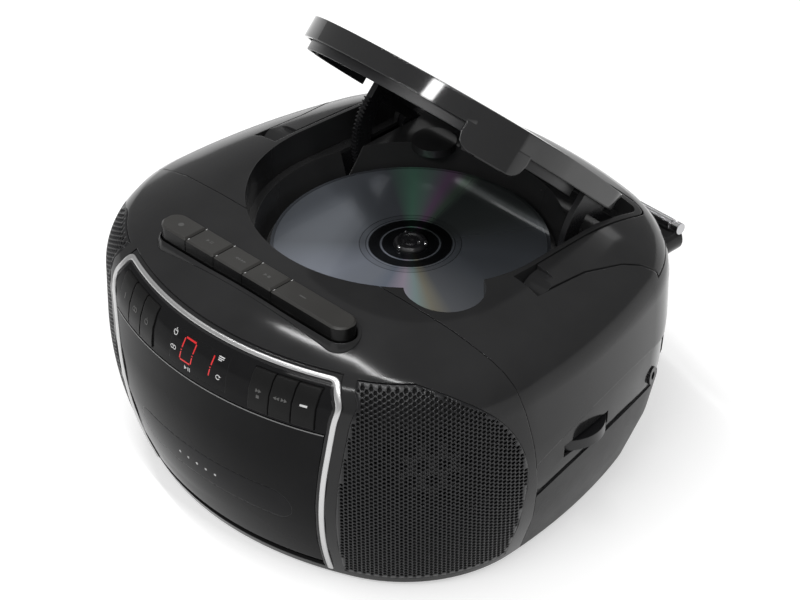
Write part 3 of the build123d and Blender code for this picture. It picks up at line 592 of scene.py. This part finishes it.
def grille_border(inward):
    """The grille's edge, as points across the corner and up."""
    lower = grown_edge(TRIM_EDGE[0], TRIM_EDGE[1], GRILLE_MARGIN + inward)
    upper = grown_edge(TRIM_EDGE[1], TRIM_EDGE[2], GRILLE_MARGIN + inward)
    top = GRILLE_TOP - inward
    bottom = GRILLE_LOW + inward
    points = []
    for k in range(BORDER_STEPS + 1):
        z = bottom + (top - bottom) * k / BORDER_STEPS
        x = min(line_at(lower, z)[0], line_at(upper, z)[0])
        y = front_y(x, z)
        if y is not None:
            points.append((DIAGONAL * (x + y), z))
    cy, cz, radius = circle_through(*GRILLE_ARC)
    for k in range(BORDER_STEPS + 1):
        z = top + (bottom - top) * k / BORDER_STEPS
        y = GRILLE_ARC[0][0] - inward
        if z > GRILLE_ARC[0][1]:
            y = min(y, cy + math.sqrt(max((radius - inward) ** 2 - (z - cz) ** 2, 0)))
        x = side_x(y, z)
        if x is not None:
            points.append((DIAGONAL * (x + y), z))
    return points


def inside(point, border):
    """Whether a point lies inside a closed outline."""
    u, v = point
    result = False
    for (u0, v0), (u1, v1) in zip(border, border[1:] + border[:1]):
        if (v0 > v) != (v1 > v) and u < u0 + (u1 - u0) * (v - v0) / (v1 - v0):
            result = not result
    return result


def nearest(point, border):
    """The nearest point of a closed outline, and its distance."""
    best = (1e9, point)
    for (u0, v0), (u1, v1) in zip(border, border[1:] + border[:1]):
        du, dv = u1 - u0, v1 - v0
        length = du * du + dv * dv
        if length == 0:
            continue
        t = min(max(((point[0] - u0) * du + (point[1] - v0) * dv) / length, 0), 1)
        spot = (u0 + t * du, v0 + t * dv)
        best = min(best, (math.hypot(point[0] - spot[0], point[1] - spot[1]), spot))
    return best


def round_a_point(middle, radius, turn):
    """A point at a distance from the middle of a hole, in a direction in degrees."""
    a = math.radians(turn)
    return middle[0] + radius * math.cos(a), middle[1] + radius * math.sin(a)


def perforated(mirror):
    """Points and faces of one perforated sheet."""
    border = grille_border(GRILLE_EDGE)
    column = GRILLE_PITCH * math.sqrt(3) / 2
    corner_reach = GRILLE_PITCH / math.sqrt(3)
    cells, corners, uses = [], {}, {}
    lowest = min(u for u, v in border)
    highest = max(u for u, v in border)
    for i in range(int(lowest / column) - 1, int(highest / column) + 2):
        for j in range(int(GRILLE_LOW / GRILLE_PITCH) - 1, int(GRILLE_TOP / GRILLE_PITCH) + 2):
            middle = (i * column, (j + 0.5 * (i % 2)) * GRILLE_PITCH)
            if not inside(middle, border):
                continue
            ring = []
            for k in range(6):
                spot = round_a_point(middle, corner_reach, 60 * k)
                key = (round(spot[0], 2), round(spot[1], 2))
                corners.setdefault(key, spot)
                uses[key] = uses.get(key, 0) + 1
                ring.append(key)
            cells.append((middle, ring))
    flat = {key: spot if uses[key] == 3 else nearest(spot, border)[1] for key, spot in corners.items()}
    vertices, faces = [], []

    def point(spot, depth):
        x, y = skin_along(spot[0], spot[1], depth)
        vertices.append((mirror * x * MM, y * MM, spot[1] * MM))
        return len(vertices) - 1

    def face(*loop):
        faces.append(loop if mirror > 0 else loop[::-1])

    top = {key: point(spot, GRILLE_SUNK) for key, spot in flat.items()}
    low = {key: point(spot, GRILLE_THICK) for key, spot in flat.items()}
    edges = dict.fromkeys(edge for middle, ring in cells for edge in zip(ring, ring[1:] + ring[:1]))
    for middle, ring in cells:
        reach = min(nearest(middle, border)[0] - HOLE_BAR, GRILLE_HOLE)
        if reach < HOLE_LEAST:
            face(*[top[key] for key in ring])
            face(*[low[key] for key in reversed(ring)])
            continue
        rim = [round_a_point(middle, reach, 30 * k) for k in range(12)]
        upper = [point(spot, GRILLE_SUNK + GRILLE_DIMPLE) for spot in rim]
        lower = [point(spot, GRILLE_THICK) for spot in rim]
        for k in range(6):
            a, b = ring[k], ring[(k + 1) % 6]
            first, mid, last = 2 * k, 2 * k + 1, (2 * k + 2) % 12
            face(top[a], top[b], upper[last], upper[mid], upper[first])
            face(low[b], low[a], lower[first], lower[mid], lower[last])
        for k in range(12):
            n = (k + 1) % 12
            face(upper[k], upper[n], lower[n], lower[k])
    for a, b in edges:
        if (b, a) not in edges:
            face(top[b], top[a], low[a], low[b])
    return vertices, faces


for side, mirror in (("right", 1), ("left", -1)):
    node = f"grille_{side}"
    sheet = add_piece(f"grille_sheet_{side}", *perforated(mirror), "grille", node, True)
    for polygon in sheet.data.polygons:
        polygon.use_smooth = True
    # A near-black sheet of painted shade just behind the holes, made from the node's own shape
    mesh = as_mesh(welded(node), f"grille_shade_sheet_{side}")
    for vertex in mesh.vertices:
        normal, gap = skin_normal(*(vertex.co / MM))
        if abs(gap) < SHADE_SHEET_REACH:
            vertex.co -= normal * (GRILLE_THICK + SHADE_SHEET_GAP - gap) * MM
    place_piece(f"grille_shade_sheet_{side}", mesh, "shade_sheet", node, True)


# Silver line round the front panel, on a bed that is flush with the skin, and a painted highlight along the
# door's upper edge

TRIM_TOP, TRIM_FOOT = 108.75, 5.9
TRIM_TOP_WIDTH, TRIM_LEG_WIDTH = 1.3, 2.25
TRIM_RADII = (9.0, 6.5)
TRIM_PROUD, TRIM_SOFT, TRIM_SUNK = 0.6, 0.35, 0.5
TRIM_STEPS = (36, 4, 50, 4, 36)
BED_REACH, BED_PROUD = 0.5, 0.03
# Size of the band of painted highlight along the door's upper edge
DOOR_TOP, DOOR_HIGHLIGHT_WIDTH, DOOR_GROWN = 84.95, 0.55, 4.1
DOOR_HIGHLIGHT_PROUD, DOOR_HIGHLIGHT_SOFT, DOOR_HIGHLIGHT_SUNK = 0.12, 0.1, 0.3
RIBBON_SIDE, RIBBON_SHARP = 0.45, 50.0


def crossing(first, second):
    """Where the lines of two edges cross."""
    (ax, az), (bx, bz) = first
    (cx, cz), (dx, dz) = second
    turn = (bx - ax) * (dz - cz) - (bz - az) * (dx - cx)
    share = ((cx - ax) * (dz - cz) - (cz - az) * (dx - cx)) / turn
    return ax + share * (bx - ax), az + share * (bz - az)


def trim_side(inward, top):
    """Right-hand corners of the silver line's edge, from the foot to the top corner."""
    lower = grown_edge(TRIM_EDGE[0], TRIM_EDGE[1], -inward)
    upper = grown_edge(TRIM_EDGE[1], TRIM_EDGE[2], -inward)
    return [line_at(lower, TRIM_FOOT), crossing(lower, upper), line_at(upper, top)]


def rounded(corners, radii, run_steps, arc_steps=8):
    """Points along runs that are joined by arcs."""
    points = []
    spots = [Vector(corner) for corner in corners]
    last = spots[0]
    for k, spot in enumerate(spots[1:-1]):
        before, after = (spot - spots[k]).normalized(), (spots[k + 2] - spot).normalized()
        turn = before.angle_signed(after)
        cut = radii[k] * math.tan(abs(turn) / 2)
        start, end = spot - before * cut, spot + after * cut
        for step in range(run_steps[k]):
            points.append(last.lerp(start, step / run_steps[k]))
        for step in range(arc_steps):
            share = step / arc_steps
            near, far = start.lerp(spot, share), spot.lerp(end, share)
            points.append(near.lerp(far, share))
        last = end
    for step in range(run_steps[-1] + 1):
        points.append(last.lerp(spots[-1], step / run_steps[-1]))
    return points


def on_front(spot, proud):
    """A point this far outside the skin of the front."""
    x, z = spot
    y = front_y(abs(x), z)
    normal, gap = skin_normal(x, y, z)
    return Vector((x, y, z)) + normal * proud


def tube_faces(count, sections):
    """Faces of a tube through sections of as many points each, closed at both ends."""
    faces = []
    for k in range(sections - 1):
        for j in range(count):
            n = (j + 1) % count
            faces.append((count * k + j, count * k + n, count * (k + 1) + n, count * (k + 1) + j))
    faces.append(tuple(range(count)))
    faces.append(tuple(range(count * sections - 1, count * (sections - 1) - 1, -1)))
    return faces


def ribbon(name, edges, proud, soft, sunk, material, node, stands=False):
    """A raised band on the front between two edges, with softened corners."""
    points = []
    for a, b in zip(*edges):
        step = (b - a).normalized() * soft
        side = proud * RIBBON_SIDE
        section = ((a, -sunk), (a, side), (a + step, proud), (b - step, proud), (b, side), (b, -sunk))
        points += [on_front(spot, height) for spot, height in section]
    soft_piece(name, points, tube_faces(6, len(edges[0])), material, node, stands, RIBBON_SHARP)


trim_edges = []
for inward, top in ((0.0, TRIM_TOP), (TRIM_LEG_WIDTH, TRIM_TOP - TRIM_TOP_WIDTH)):
    right = trim_side(inward, top)
    left = [(-x, z) for x, z in right]
    radii = [radius - inward for radius in TRIM_RADII]
    trim_edges.append(rounded(left + right[::-1], radii + radii[::-1], TRIM_STEPS))
ribbon("trim_line", trim_edges, TRIM_PROUD, TRIM_SOFT, TRIM_SUNK, "trim", "panel_trim", True)

bed = as_mesh(welded("panel_trim"), "trim_bed")
for vertex in bed.vertices:
    normal, gap = skin_normal(*(vertex.co / MM))
    if gap < BED_REACH:
        vertex.co += normal * (gap - BED_PROUD) * MM
skinned(bed)
place_piece("trim_bed", bed, "housing", "panel_trim", True)

# A grey band of painted highlight along the door's upper edge
door_half = line_at(grown_edge(TRIM_EDGE[0], TRIM_EDGE[1], -DOOR_GROWN), DOOR_TOP)[0]
door_highlight_edges = [rounded([(-door_half, z), (0, z), (door_half, z)], (1.0,), (30, 30))
              for z in (DOOR_TOP, DOOR_TOP - DOOR_HIGHLIGHT_WIDTH)]
ribbon("door_edge_highlight", door_highlight_edges, DOOR_HIGHLIGHT_PROUD, DOOR_HIGHLIGHT_SOFT, DOOR_HIGHLIGHT_SUNK, "door_edge_highlight", "cassette_door")


# Raised rim round the cassette keys: how far out, and how high above the rim's top or else above the skin

KEY_Y, KEY_HALF, KEY_ROUND = -77.3, 56.0, 6.25
KEY_ROUND_STEPS = 24
RIM_TOP, RIM_LEAST = 117.6, 0.25
RIM_SECTION = ((0.45, -3.0, None), (0.45, -0.3, None), (0.8, 0.0, None), (1.1, -0.2, None), (2.1, None, 0.02),
               (2.1, None, -0.8))


def stadium(grow):
    """Closed outline of the key row, grown outwards."""
    points = []
    middle, radius = KEY_HALF - KEY_ROUND, KEY_ROUND + grow
    for side in (1, -1):
        for k in range(KEY_ROUND_STEPS + 1):
            a = math.pi * (k / KEY_ROUND_STEPS - 0.5)
            points.append((side * (middle + radius * math.cos(a)), KEY_Y + side * radius * math.sin(a)))
        for k in range(1, KEY_ROUND_STEPS):
            points.append((side * middle * (1 - 2 * k / KEY_ROUND_STEPS), KEY_Y + side * radius))
    return points


def ring_faces(count, rings, closed=True):
    """Faces of a band whose rings of points follow each other, joined into a tube if it is closed."""
    faces = []
    for j in range(rings if closed else rings - 1):
        for k in range(count):
            n, m = (k + 1) % count, (j + 1) % rings
            faces.append((j * count + k, j * count + n, m * count + n, m * count + k))
    return faces


rim_points = []
for grow, drop, lift in RIM_SECTION:
    for x, y in stadium(grow):
        ground = skin_height(x, y)
        rim_points.append((x, y, ground + lift if drop is None else max(RIM_TOP, ground + RIM_LEAST) + drop))
rim_faces = ring_faces(len(rim_points) // len(RIM_SECTION), len(RIM_SECTION))
soft_piece("key_rim", rim_points, rim_faces, "housing", "front_shell")


def turned(profile, place, direction, sides):
    """Points and faces of a shape turned on a lathe: (radius, height) points from the axis out and back."""
    aim = Vector(direction).to_track_quat("Z", "Y")
    vertices = []
    for radius, height in profile:
        for k in range(sides):
            a = 2 * math.pi * k / sides
            spot = aim @ Vector((radius * math.cos(a), radius * math.sin(a), height))
            vertices.append(Vector(place) + spot)
    faces = ring_faces(sides, len(profile), closed=False)
    faces.append(tuple(range(sides))[::-1])
    faces.append(tuple(range((len(profile) - 1) * sides, len(profile) * sides)))
    return vertices, faces


def joined(shapes):
    """Several (points, faces) shapes as one."""
    vertices, faces = [], []
    for points, loops in shapes:
        first = len(vertices)
        vertices += points
        faces += [tuple(first + k for k in loop) for loop in loops]
    return vertices, faces


# Turntable with its hub and the three spring balls that hold the disc

TABLE_Z = 94.4
HUB_PROFILE = ((0.6, -15.4), (1.0, -15.2), (1.0, -1.8), (12.1, -1.8), (12.5, -1.5), (12.5, -0.3), (12.2, 0.0),
               (7.4, 0.0), (7.4, 1.7), (7.1, 2.2), (6.5, 3.0), (6.0, 3.2), (4.9, 3.2), (4.5, 2.6), (3.3, 2.5),
               (3.0, 3.0), (1.2, 3.1), (0.5, 2.7))
BALL_RADIUS, BALL_RING, BALL_RISE = 1.15, 6.6, 2.2
BALL_TURNS = [0.15 + 0.284 * k for k in range(11)]
BALL_PROFILE = [(BALL_RADIUS * math.sin(turn), BALL_RADIUS * math.cos(turn)) for turn in BALL_TURNS]
SPOKE_CORNERS = ((3.1, 0.10), (3.1, -0.10), (4.7, -0.07), (4.7, 0.07))
SPOKE_HEIGHTS = (2.4, 3.3)
SPOKE_FACES = [(0, 2, 4, 6), (7, 5, 3, 1), (0, 1, 3, 2), (2, 3, 5, 4), (4, 5, 7, 6), (6, 7, 1, 0)]


def in_well(radius, a, z):
    """A point at a distance and direction from the disc's axis."""
    return radius * math.cos(a), DISC_Y + radius * math.sin(a), z


hub = turned(HUB_PROFILE, (0, DISC_Y, TABLE_Z), (0, 0, 1), 72)
soft_piece("turntable_hub", *hub, "hub", "turntable", True, 30.0)
balls = []
for k in range(3):
    a = math.radians(30 + 120 * k)
    balls.append(turned(BALL_PROFILE, in_well(BALL_RING, a, TABLE_Z + BALL_RISE), (0, 0, 1), 16))
    spoke = [in_well(radius, a + turn, TABLE_Z + height)
             for radius, turn in SPOKE_CORNERS for height in SPOKE_HEIGHTS]
    balls.append((spoke, SPOKE_FACES))
soft_piece("hub_balls", *joined(balls), "chrome", "turntable")


# Lid: its rounded tongue, and the lip inside its rim

HINGE_Y, HINGE_Z, LID_OPEN = 70.5, 104.5, math.radians(44)
LID_WALL, LID_EDGE_Z = 69.0, 110.7
LID_EDGE_ABOVE, LID_EDGE_BELOW = 0.05, 0.5
TONGUE_DEG, TONGUE_HALF_DEG, TONGUE_LOW, TONGUE_CORNER = -33.0, 13.6, 100.0, 7.0
TONGUE_PROUD, TONGUE_THICK, TONGUE_SOFT, TONGUE_ROOT = 0.02, 2.0, 0.5, 1.0
TONGUE_COLUMNS = 28
LIP_OUT, LIP_IN, LIP_LOW, LIP_TOP = 65.2, 63.4, 106.6, 113.0
LIP_RUNS = ((-196.0, -161.0), (-156.5, 16.0))
LIP_STEP = 3


def opened(x, y, z):
    """A point of the closed lid, moved to the open pose."""
    dy, dz = y - HINGE_Y, z - HINGE_Z
    return Vector((x, HINGE_Y + dy * math.cos(LID_OPEN) + dz * math.sin(LID_OPEN),
                   HINGE_Z - dy * math.sin(LID_OPEN) + dz * math.cos(LID_OPEN)))


def closed_z(spot):
    """Height of a point of the open lid once the lid is closed."""
    dy, dz = spot.y - HINGE_Y, spot.z - HINGE_Z
    return HINGE_Z + dy * math.sin(LID_OPEN) + dz * math.cos(LID_OPEN)


def below_edge(face):
    """Whether a face of the lid lies below its edge."""
    heights = [closed_z(vertex.co / MM) for vertex in face.verts]
    return max(heights) < LID_EDGE_Z + LID_EDGE_ABOVE and min(heights) < LID_EDGE_Z - LID_EDGE_BELOW


lid_form = welded("lid_cover")
bmesh.ops.delete(lid_form, geom=[face for face in lid_form.faces if below_edge(face)], context="FACES")
bmesh.ops.holes_fill(lid_form, edges=[edge for edge in lid_form.edges if edge.is_boundary], sides=0)
place_piece("lid_cover_smooth", as_mesh(lid_form, "lid_cover_smooth"), "lid", "lid_cover", True)

tongue_half = math.radians(TONGUE_HALF_DEG) * LID_WALL
outer, inner, root = LID_WALL + TONGUE_PROUD, LID_WALL - TONGUE_THICK, LID_EDGE_Z + TONGUE_ROOT
tongue_points = []
for k in range(TONGUE_COLUMNS + 1):
    along = -1 + 2 * k / TONGUE_COLUMNS
    corner = max(abs(along) * tongue_half - (tongue_half - TONGUE_CORNER), 0)
    low = TONGUE_LOW + TONGUE_CORNER - math.sqrt(max(TONGUE_CORNER ** 2 - corner ** 2, 0))
    a = math.radians(TONGUE_DEG + along * TONGUE_HALF_DEG)
    for radius, z in ((outer, root), (outer, low + TONGUE_SOFT), (LID_WALL - TONGUE_SOFT, low),
                      (inner + TONGUE_SOFT, low), (inner, low + TONGUE_SOFT), (inner, root)):
        tongue_points.append(opened(*in_well(radius, a, z)))
soft_piece("lid_tongue", tongue_points, tube_faces(6, TONGUE_COLUMNS + 1), "lid", "lid_cover")

lips = []
for first, last in LIP_RUNS:
    columns = int((last - first) / LIP_STEP)
    points = []
    for k in range(columns + 1):
        a = math.radians(first + (last - first) * k / columns)
        for radius, z in ((LIP_OUT, LIP_TOP), (LIP_OUT, LIP_LOW), (LIP_IN, LIP_LOW), (LIP_IN, LIP_TOP)):
            points.append(opened(*in_well(radius, a, z)))
    lips.append((points, tube_faces(4, columns + 1)))
soft_piece("lid_lip", *joined(lips), "lid_inside", "lid_inner")


# Screws beside the left arm

SCREW_PROFILE = ((3.0, -1.5), (3.0, 0.1), (2.7, 0.5), (1.9, 0.8), (1.0, 0.85), (0.9, 0.3), (0.3, 0.25))
SCREW_SPOTS = ((-58, 52, 96.5), (-57, 62, 93))
SCREW_AIM = (1, -0.15, 0.25)
screws = [turned(SCREW_PROFILE, spot, SCREW_AIM, 24) for spot in SCREW_SPOTS]
soft_piece("arm_screws", *joined(screws), "chrome", "cd_deck", sharp=30.0)


# Marks laid on the surfaces

MARK_START, MARK_SUNK = 300.0, 0.1
ARROW_HALF = 0.45
trees = {}


def surface_under(start, direction, node):
    """Where a line meets a node's surface."""
    if node not in trees:
        mesh = frame["nodes"][node].data
        points = [vertex.co.copy() for vertex in mesh.vertices]
        trees[node] = BVHTree.FromPolygons(points, [tuple(polygon.vertices) for polygon in mesh.polygons])
    spot, normal, index, distance = trees[node].ray_cast(Vector(start), Vector(direction))
    return spot


def mark(name, shapes, node, material, view="front", thick=0.12):
    """Flat shapes laid on a node, seen from the front or from above. Each shape is a list of points in mm."""
    away = Vector((0, -1, 0)) if view == "front" else Vector((0, 0, 1))
    vertices, faces = [], []
    for shape in shapes:
        upper, lower = [], []
        for a, b in shape:
            flat = (a, 0, b) if view == "front" else (a, b, 0)
            spot = surface_under((Vector(flat) + away * MARK_START) * MM, -away, node)
            if spot is None:
                raise ValueError(f"{name}: {a}, {b} isn't over {node}")
            upper.append(spot + away * thick * MM)
            lower.append(spot - away * MARK_SUNK * MM)
        count, first = len(shape), len(vertices)
        vertices += upper + lower
        faces.append(tuple(range(first, first + count)))
        faces.append(tuple(range(first + 2 * count - 1, first + count - 1, -1)))
        for k in range(count):
            n = (k + 1) % count
            faces.append((first + k, first + count + k, first + count + n, first + n))
    turned_outwards(add_piece(name, vertices, faces, material, node))


def bar(x0, y0, x1, y1, width):
    """A straight stroke."""
    dx, dy = x1 - x0, y1 - y0
    length = math.hypot(dx, dy)
    px, py = -dy / length * width / 2, dx / length * width / 2
    return [(x0 + px, y0 + py), (x0 - px, y0 - py), (x1 - px, y1 - py), (x1 + px, y1 + py)]


def moved(shape, x, y):
    """A shape, moved."""
    return [(x + a, y + b) for a, b in shape]


def placed(shapes, x, y):
    """Several shapes, moved together."""
    return [moved(shape, x, y) for shape in shapes]


def triangle(size, turn=1):
    """A small arrow that points to the right, or to the left with a turn of -1."""
    reach = turn * size * ARROW_HALF
    return [(-reach, -size / 2), (reach, 0), (-reach, size / 2)]


def dot(size, sides=12):
    """A round dot."""
    turns = [2 * math.pi * k / sides for k in range(sides)]
    return [(size / 2 * math.cos(turn), size / 2 * math.sin(turn)) for turn in turns]


def loop_of(size, start, end, width, steps=14):
    """Short strokes along an arc of a circle, in degrees."""
    strokes = []
    for k in range(steps):
        a, b = (math.radians(start + (end - start) * (k + e) / steps) for e in (0, 1))
        corners = ((size - width, a), (size, a), (size, b), (size - width, b))
        strokes.append([(radius * math.cos(turn), radius * math.sin(turn)) for radius, turn in corners])
    return strokes


DIGIT_LOW, DIGIT_HIGH, DIGIT_WIDE, DIGIT_LEAN = 92.2, 102.2, 6.9, 1.5
DIGIT_STROKE, DIGIT_GAP = 0.6, 0.42
DIGIT_MIDDLE = (DIGIT_LOW + DIGIT_HIGH) / 2
SEGMENTS = {
    "a": ((0, DIGIT_HIGH), (1, DIGIT_HIGH)), "b": ((1, DIGIT_HIGH), (1, DIGIT_MIDDLE)),
    "c": ((1, DIGIT_MIDDLE), (1, DIGIT_LOW)), "d": ((0, DIGIT_LOW), (1, DIGIT_LOW)),
    "e": ((0, DIGIT_LOW), (0, DIGIT_MIDDLE)), "f": ((0, DIGIT_MIDDLE), (0, DIGIT_HIGH)),
}


def digit_bars(segments, left):
    """The lit bars of one seven-segment digit."""
    bars = []
    slope = DIGIT_LEAN / (DIGIT_HIGH - DIGIT_LOW)
    for segment in segments:
        (x0, z0), (x1, z1) = ((left + u * DIGIT_WIDE + slope * (z - DIGIT_LOW), z)
                              for u, z in SEGMENTS[segment])
        trim = DIGIT_GAP / math.hypot(x1 - x0, z1 - z0)
        dx, dz = (x1 - x0) * trim, (z1 - z0) * trim
        bars.append(bar(x0 + dx, z0 + dz, x1 - dx, z1 - dz, DIGIT_STROKE))
    return bars


mark("digits", digit_bars("abcdef", -10.2) + digit_bars("bc", 0.6), "display_module", "digit")

square = [(-0.7, -0.7), (0.7, -0.7), (0.7, 0.7), (-0.7, 0.7)]
power_sign = loop_of(1.25, 120, 420, 0.32) + [bar(0, 0.3, 0, 1.6, 0.32)]
stereo_sign = loop_of(1.0, 0, 360, 0.3) + placed(loop_of(1.0, 0, 360, 0.3), 1.5, 0)
list_sign = [bar(-1.5, 0.7, 1.5, 0.7, 0.32), bar(-1.5, 0, 1.5, 0, 0.32), bar(-1.5, -0.7, 0.5, -0.7, 0.32)]
repeat_sign = loop_of(1.15, 40, 330, 0.32) + [moved(triangle(1.0), 1.15, 0.5)]
play_sign = [triangle(1.7), bar(1.6, -0.85, 1.6, 0.85, 0.4), bar(2.5, -0.85, 2.5, 0.85, 0.4)]
fast_sign = [moved(triangle(1.5), -0.6, 0), moved(triangle(1.5), 0.8, 0)]
back_sign = [moved(triangle(1.5, -1), -0.8, 0), moved(triangle(1.5, -1), 0.6, 0)]
stop_sign = fast_sign + [moved(square, 0, -2.6)]
skip_sign = back_sign + placed(fast_sign, 3.4, 0)
band_sign = [bar(-1.6, 0, 1.6, 0, 0.8)]
line_sign = [bar(0, -1.2, 0, 1.2, 0.5)]

FRONT_SIGNS = (
    ("sign_power", power_sign, -15.2, 101.4, "display_module", "pale_print_and_glint"),
    ("sign_stereo", stereo_sign, -15.4, 95.4, "display_module", "pale_print_and_glint"),
    ("sign_list", list_sign, 12.6, 101.8, "display_module", "pale_print_and_glint"),
    ("sign_repeat", repeat_sign, 12.8, 94.0, "display_module", "pale_print_and_glint"),
    ("sign_play", play_sign, -6.0, 89.7, "display_module", "pale_print_and_glint"),
    ("button_sign_right_1", stop_sign, 34.0, 96.6, "button_right_1", "faint"),
    ("button_sign_right_2", skip_sign, 42.6, 96.4, "button_right_2", "faint"),
    ("button_sign_right_3", band_sign, 54.5, 96.8, "button_right_3", "pale_print_and_glint"),
    ("button_sign_left_1", power_sign, -34.4, 96.6, "button_left_1", "faint"),
    ("button_sign_left_2", stereo_sign, -45.2, 96.6, "button_left_2", "faint"),
    ("button_sign_left_3", line_sign, -54.4, 97.1, "button_left_3", "faint"),
)
for name, shapes, x, z, node, material in FRONT_SIGNS:
    mark(name, placed(shapes, x, z), node, material)

KEY_ENDS = (-56.0, -37.5, -20.3, -3.0, 14.5, 56.0)
KEY_SIGNS = {
    1: ([dot(2.6)], 0), 2: (play_sign, -1), 3: (back_sign + placed(fast_sign, 3.2, 0), 0),
    4: ([moved(triangle(1.8), -0.6, 0), moved(square, 1.4, 0)], 0), 5: ([bar(-1.8, 0, 1.8, 0, 0.7)], -8),
}
KEY_SIGN_THICK = 0.06
# Pale dots of painted highlight at the front and back ends of the joints between keys
GLINT_SIZE, GLINT_X, GLINT_Y, GLINT_THICK = 0.9, 0.9, 5.0, 0.18
for index, (shapes, shift) in KEY_SIGNS.items():
    middle = (KEY_ENDS[index - 1] + KEY_ENDS[index]) / 2 + shift
    mark(f"key_sign_{index}", placed(shapes, middle, KEY_Y), f"key_{index}", "faint", "above", KEY_SIGN_THICK)
# Painted highlights where the keys meet
for index in range(2, 6):
    glints = [moved(dot(GLINT_SIZE), KEY_ENDS[index - 1] + GLINT_X, KEY_Y + side * GLINT_Y) for side in (-1, 1)]
    mark(f"key_glints_{index}", glints, f"key_{index}", "pale_print_and_glint", "above", GLINT_THICK)

WINDOW_DOT, WINDOW_DOT_X, WINDOW_DOT_STEP, WINDOW_DOT_Z = 1.3, -16.0, 5.6, 39.2
window_marks = [moved(dot(WINDOW_DOT), WINDOW_DOT_X + WINDOW_DOT_STEP * k, WINDOW_DOT_Z) for k in range(5)]
mark("window_marks", window_marks, "door_window", "pale_print_and_glint")


# Floor, backdrop and light

FLOOR_HALF = 6.0
FLOOR_GLOW = 0.52
SKY = 0.34


def seen_white(tree, shader, strength):
    """Adds white to what the camera, reflections and glass see of the floor, without lighting anything."""
    path = tree.nodes.new("ShaderNodeLightPath")
    seen = path.outputs["Is Camera Ray"]
    for ray in ("Is Glossy Ray", "Is Transmission Ray"):
        either = tree.nodes.new("ShaderNodeMath")
        either.operation = "MAXIMUM"
        tree.links.new(seen, either.inputs[0])
        tree.links.new(path.outputs[ray], either.inputs[1])
        seen = either.outputs[0]
    tree.links.new(spread(tree, seen, 0.0, strength), shader.inputs["Emission Strength"])
    shader.inputs["Emission Color"].default_value = (1, 1, 1, 1)


floor_material, floor_shader, floor_tree = new_material("floor")
floor_shader.inputs["Roughness"].default_value = 0.9
floor_shader.inputs["Specular IOR Level"].default_value = 0.1
floor_colour = ramp(floor_tree, noise(floor_tree, FLOOR_SCALE), greys(((0.3, 0.62), (0.7, 0.64))))
floor_tree.links.new(floor_colour, floor_shader.inputs["Base Color"])
seen_white(floor_tree, floor_shader, FLOOR_GLOW)
floor_mesh = bpy.data.meshes.new("floor")
floor_corners = [(x * FLOOR_HALF, y * FLOOR_HALF, 0) for x, y in ((-1, -1), (1, -1), (1, 1), (-1, 1))]
floor_mesh.from_pydata(floor_corners, [], [(0, 1, 2, 3)])
floor_mesh.materials.append(floor_material)
panel = bpy.data.objects.new("floor", floor_mesh)
bpy.context.scene.collection.objects.link(panel)
panel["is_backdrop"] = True

world = bpy.data.worlds.new("world")
bpy.context.scene.world = world
world.use_nodes = True
background = world.node_tree.nodes["Background"]
background.inputs["Color"].default_value = (1, 1, 1, 1)
background.inputs["Strength"].default_value = SKY


def aimed(name, data, place, direction):
    """A lamp or a camera at a place, looking in a direction."""
    thing = bpy.data.objects.new(name, data)
    thing.location = place
    thing.rotation_mode = "QUATERNION"
    thing.rotation_quaternion = Vector(direction).to_track_quat("-Z", "Y")
    bpy.context.scene.collection.objects.link(thing)
    return thing


def softbox(name, place, target, width, height, power):
    """A long soft lamp that faces the object."""
    light = bpy.data.lights.new(name, "AREA")
    light.shape = "RECTANGLE"
    light.size = width
    light.size_y = height
    light.energy = power
    aimed(name, light, place, Vector(target) - Vector(place))


softbox("lamp_above", (-0.12, -0.43, 2.15), (0, 0, 0.1), 2.1, 0.055, 25)
softbox("lamp_lid", (0.69, -1.48, 1.70), (0.0, 0, 0.12), 2.7, 0.10, 22)
softbox("lamp_back", (-0.8, 1.8, 1.6), (0, 0, 0.1), 1.4, 0.3, 3)


# Camera at the photograph's angle

CAMERA_PLACE = (1.0089, -0.9835, 1.0528)
CAMERA_AIM = (-0.5862, 0.5742, -0.5715)
camera_data = bpy.data.cameras.new("camera")
camera_data.lens = 180
camera_data.sensor_width = 36
bpy.context.scene.camera = aimed("camera", camera_data, CAMERA_PLACE, CAMERA_AIM)
bpy.context.scene.view_settings.view_transform = "Standard"

low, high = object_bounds()
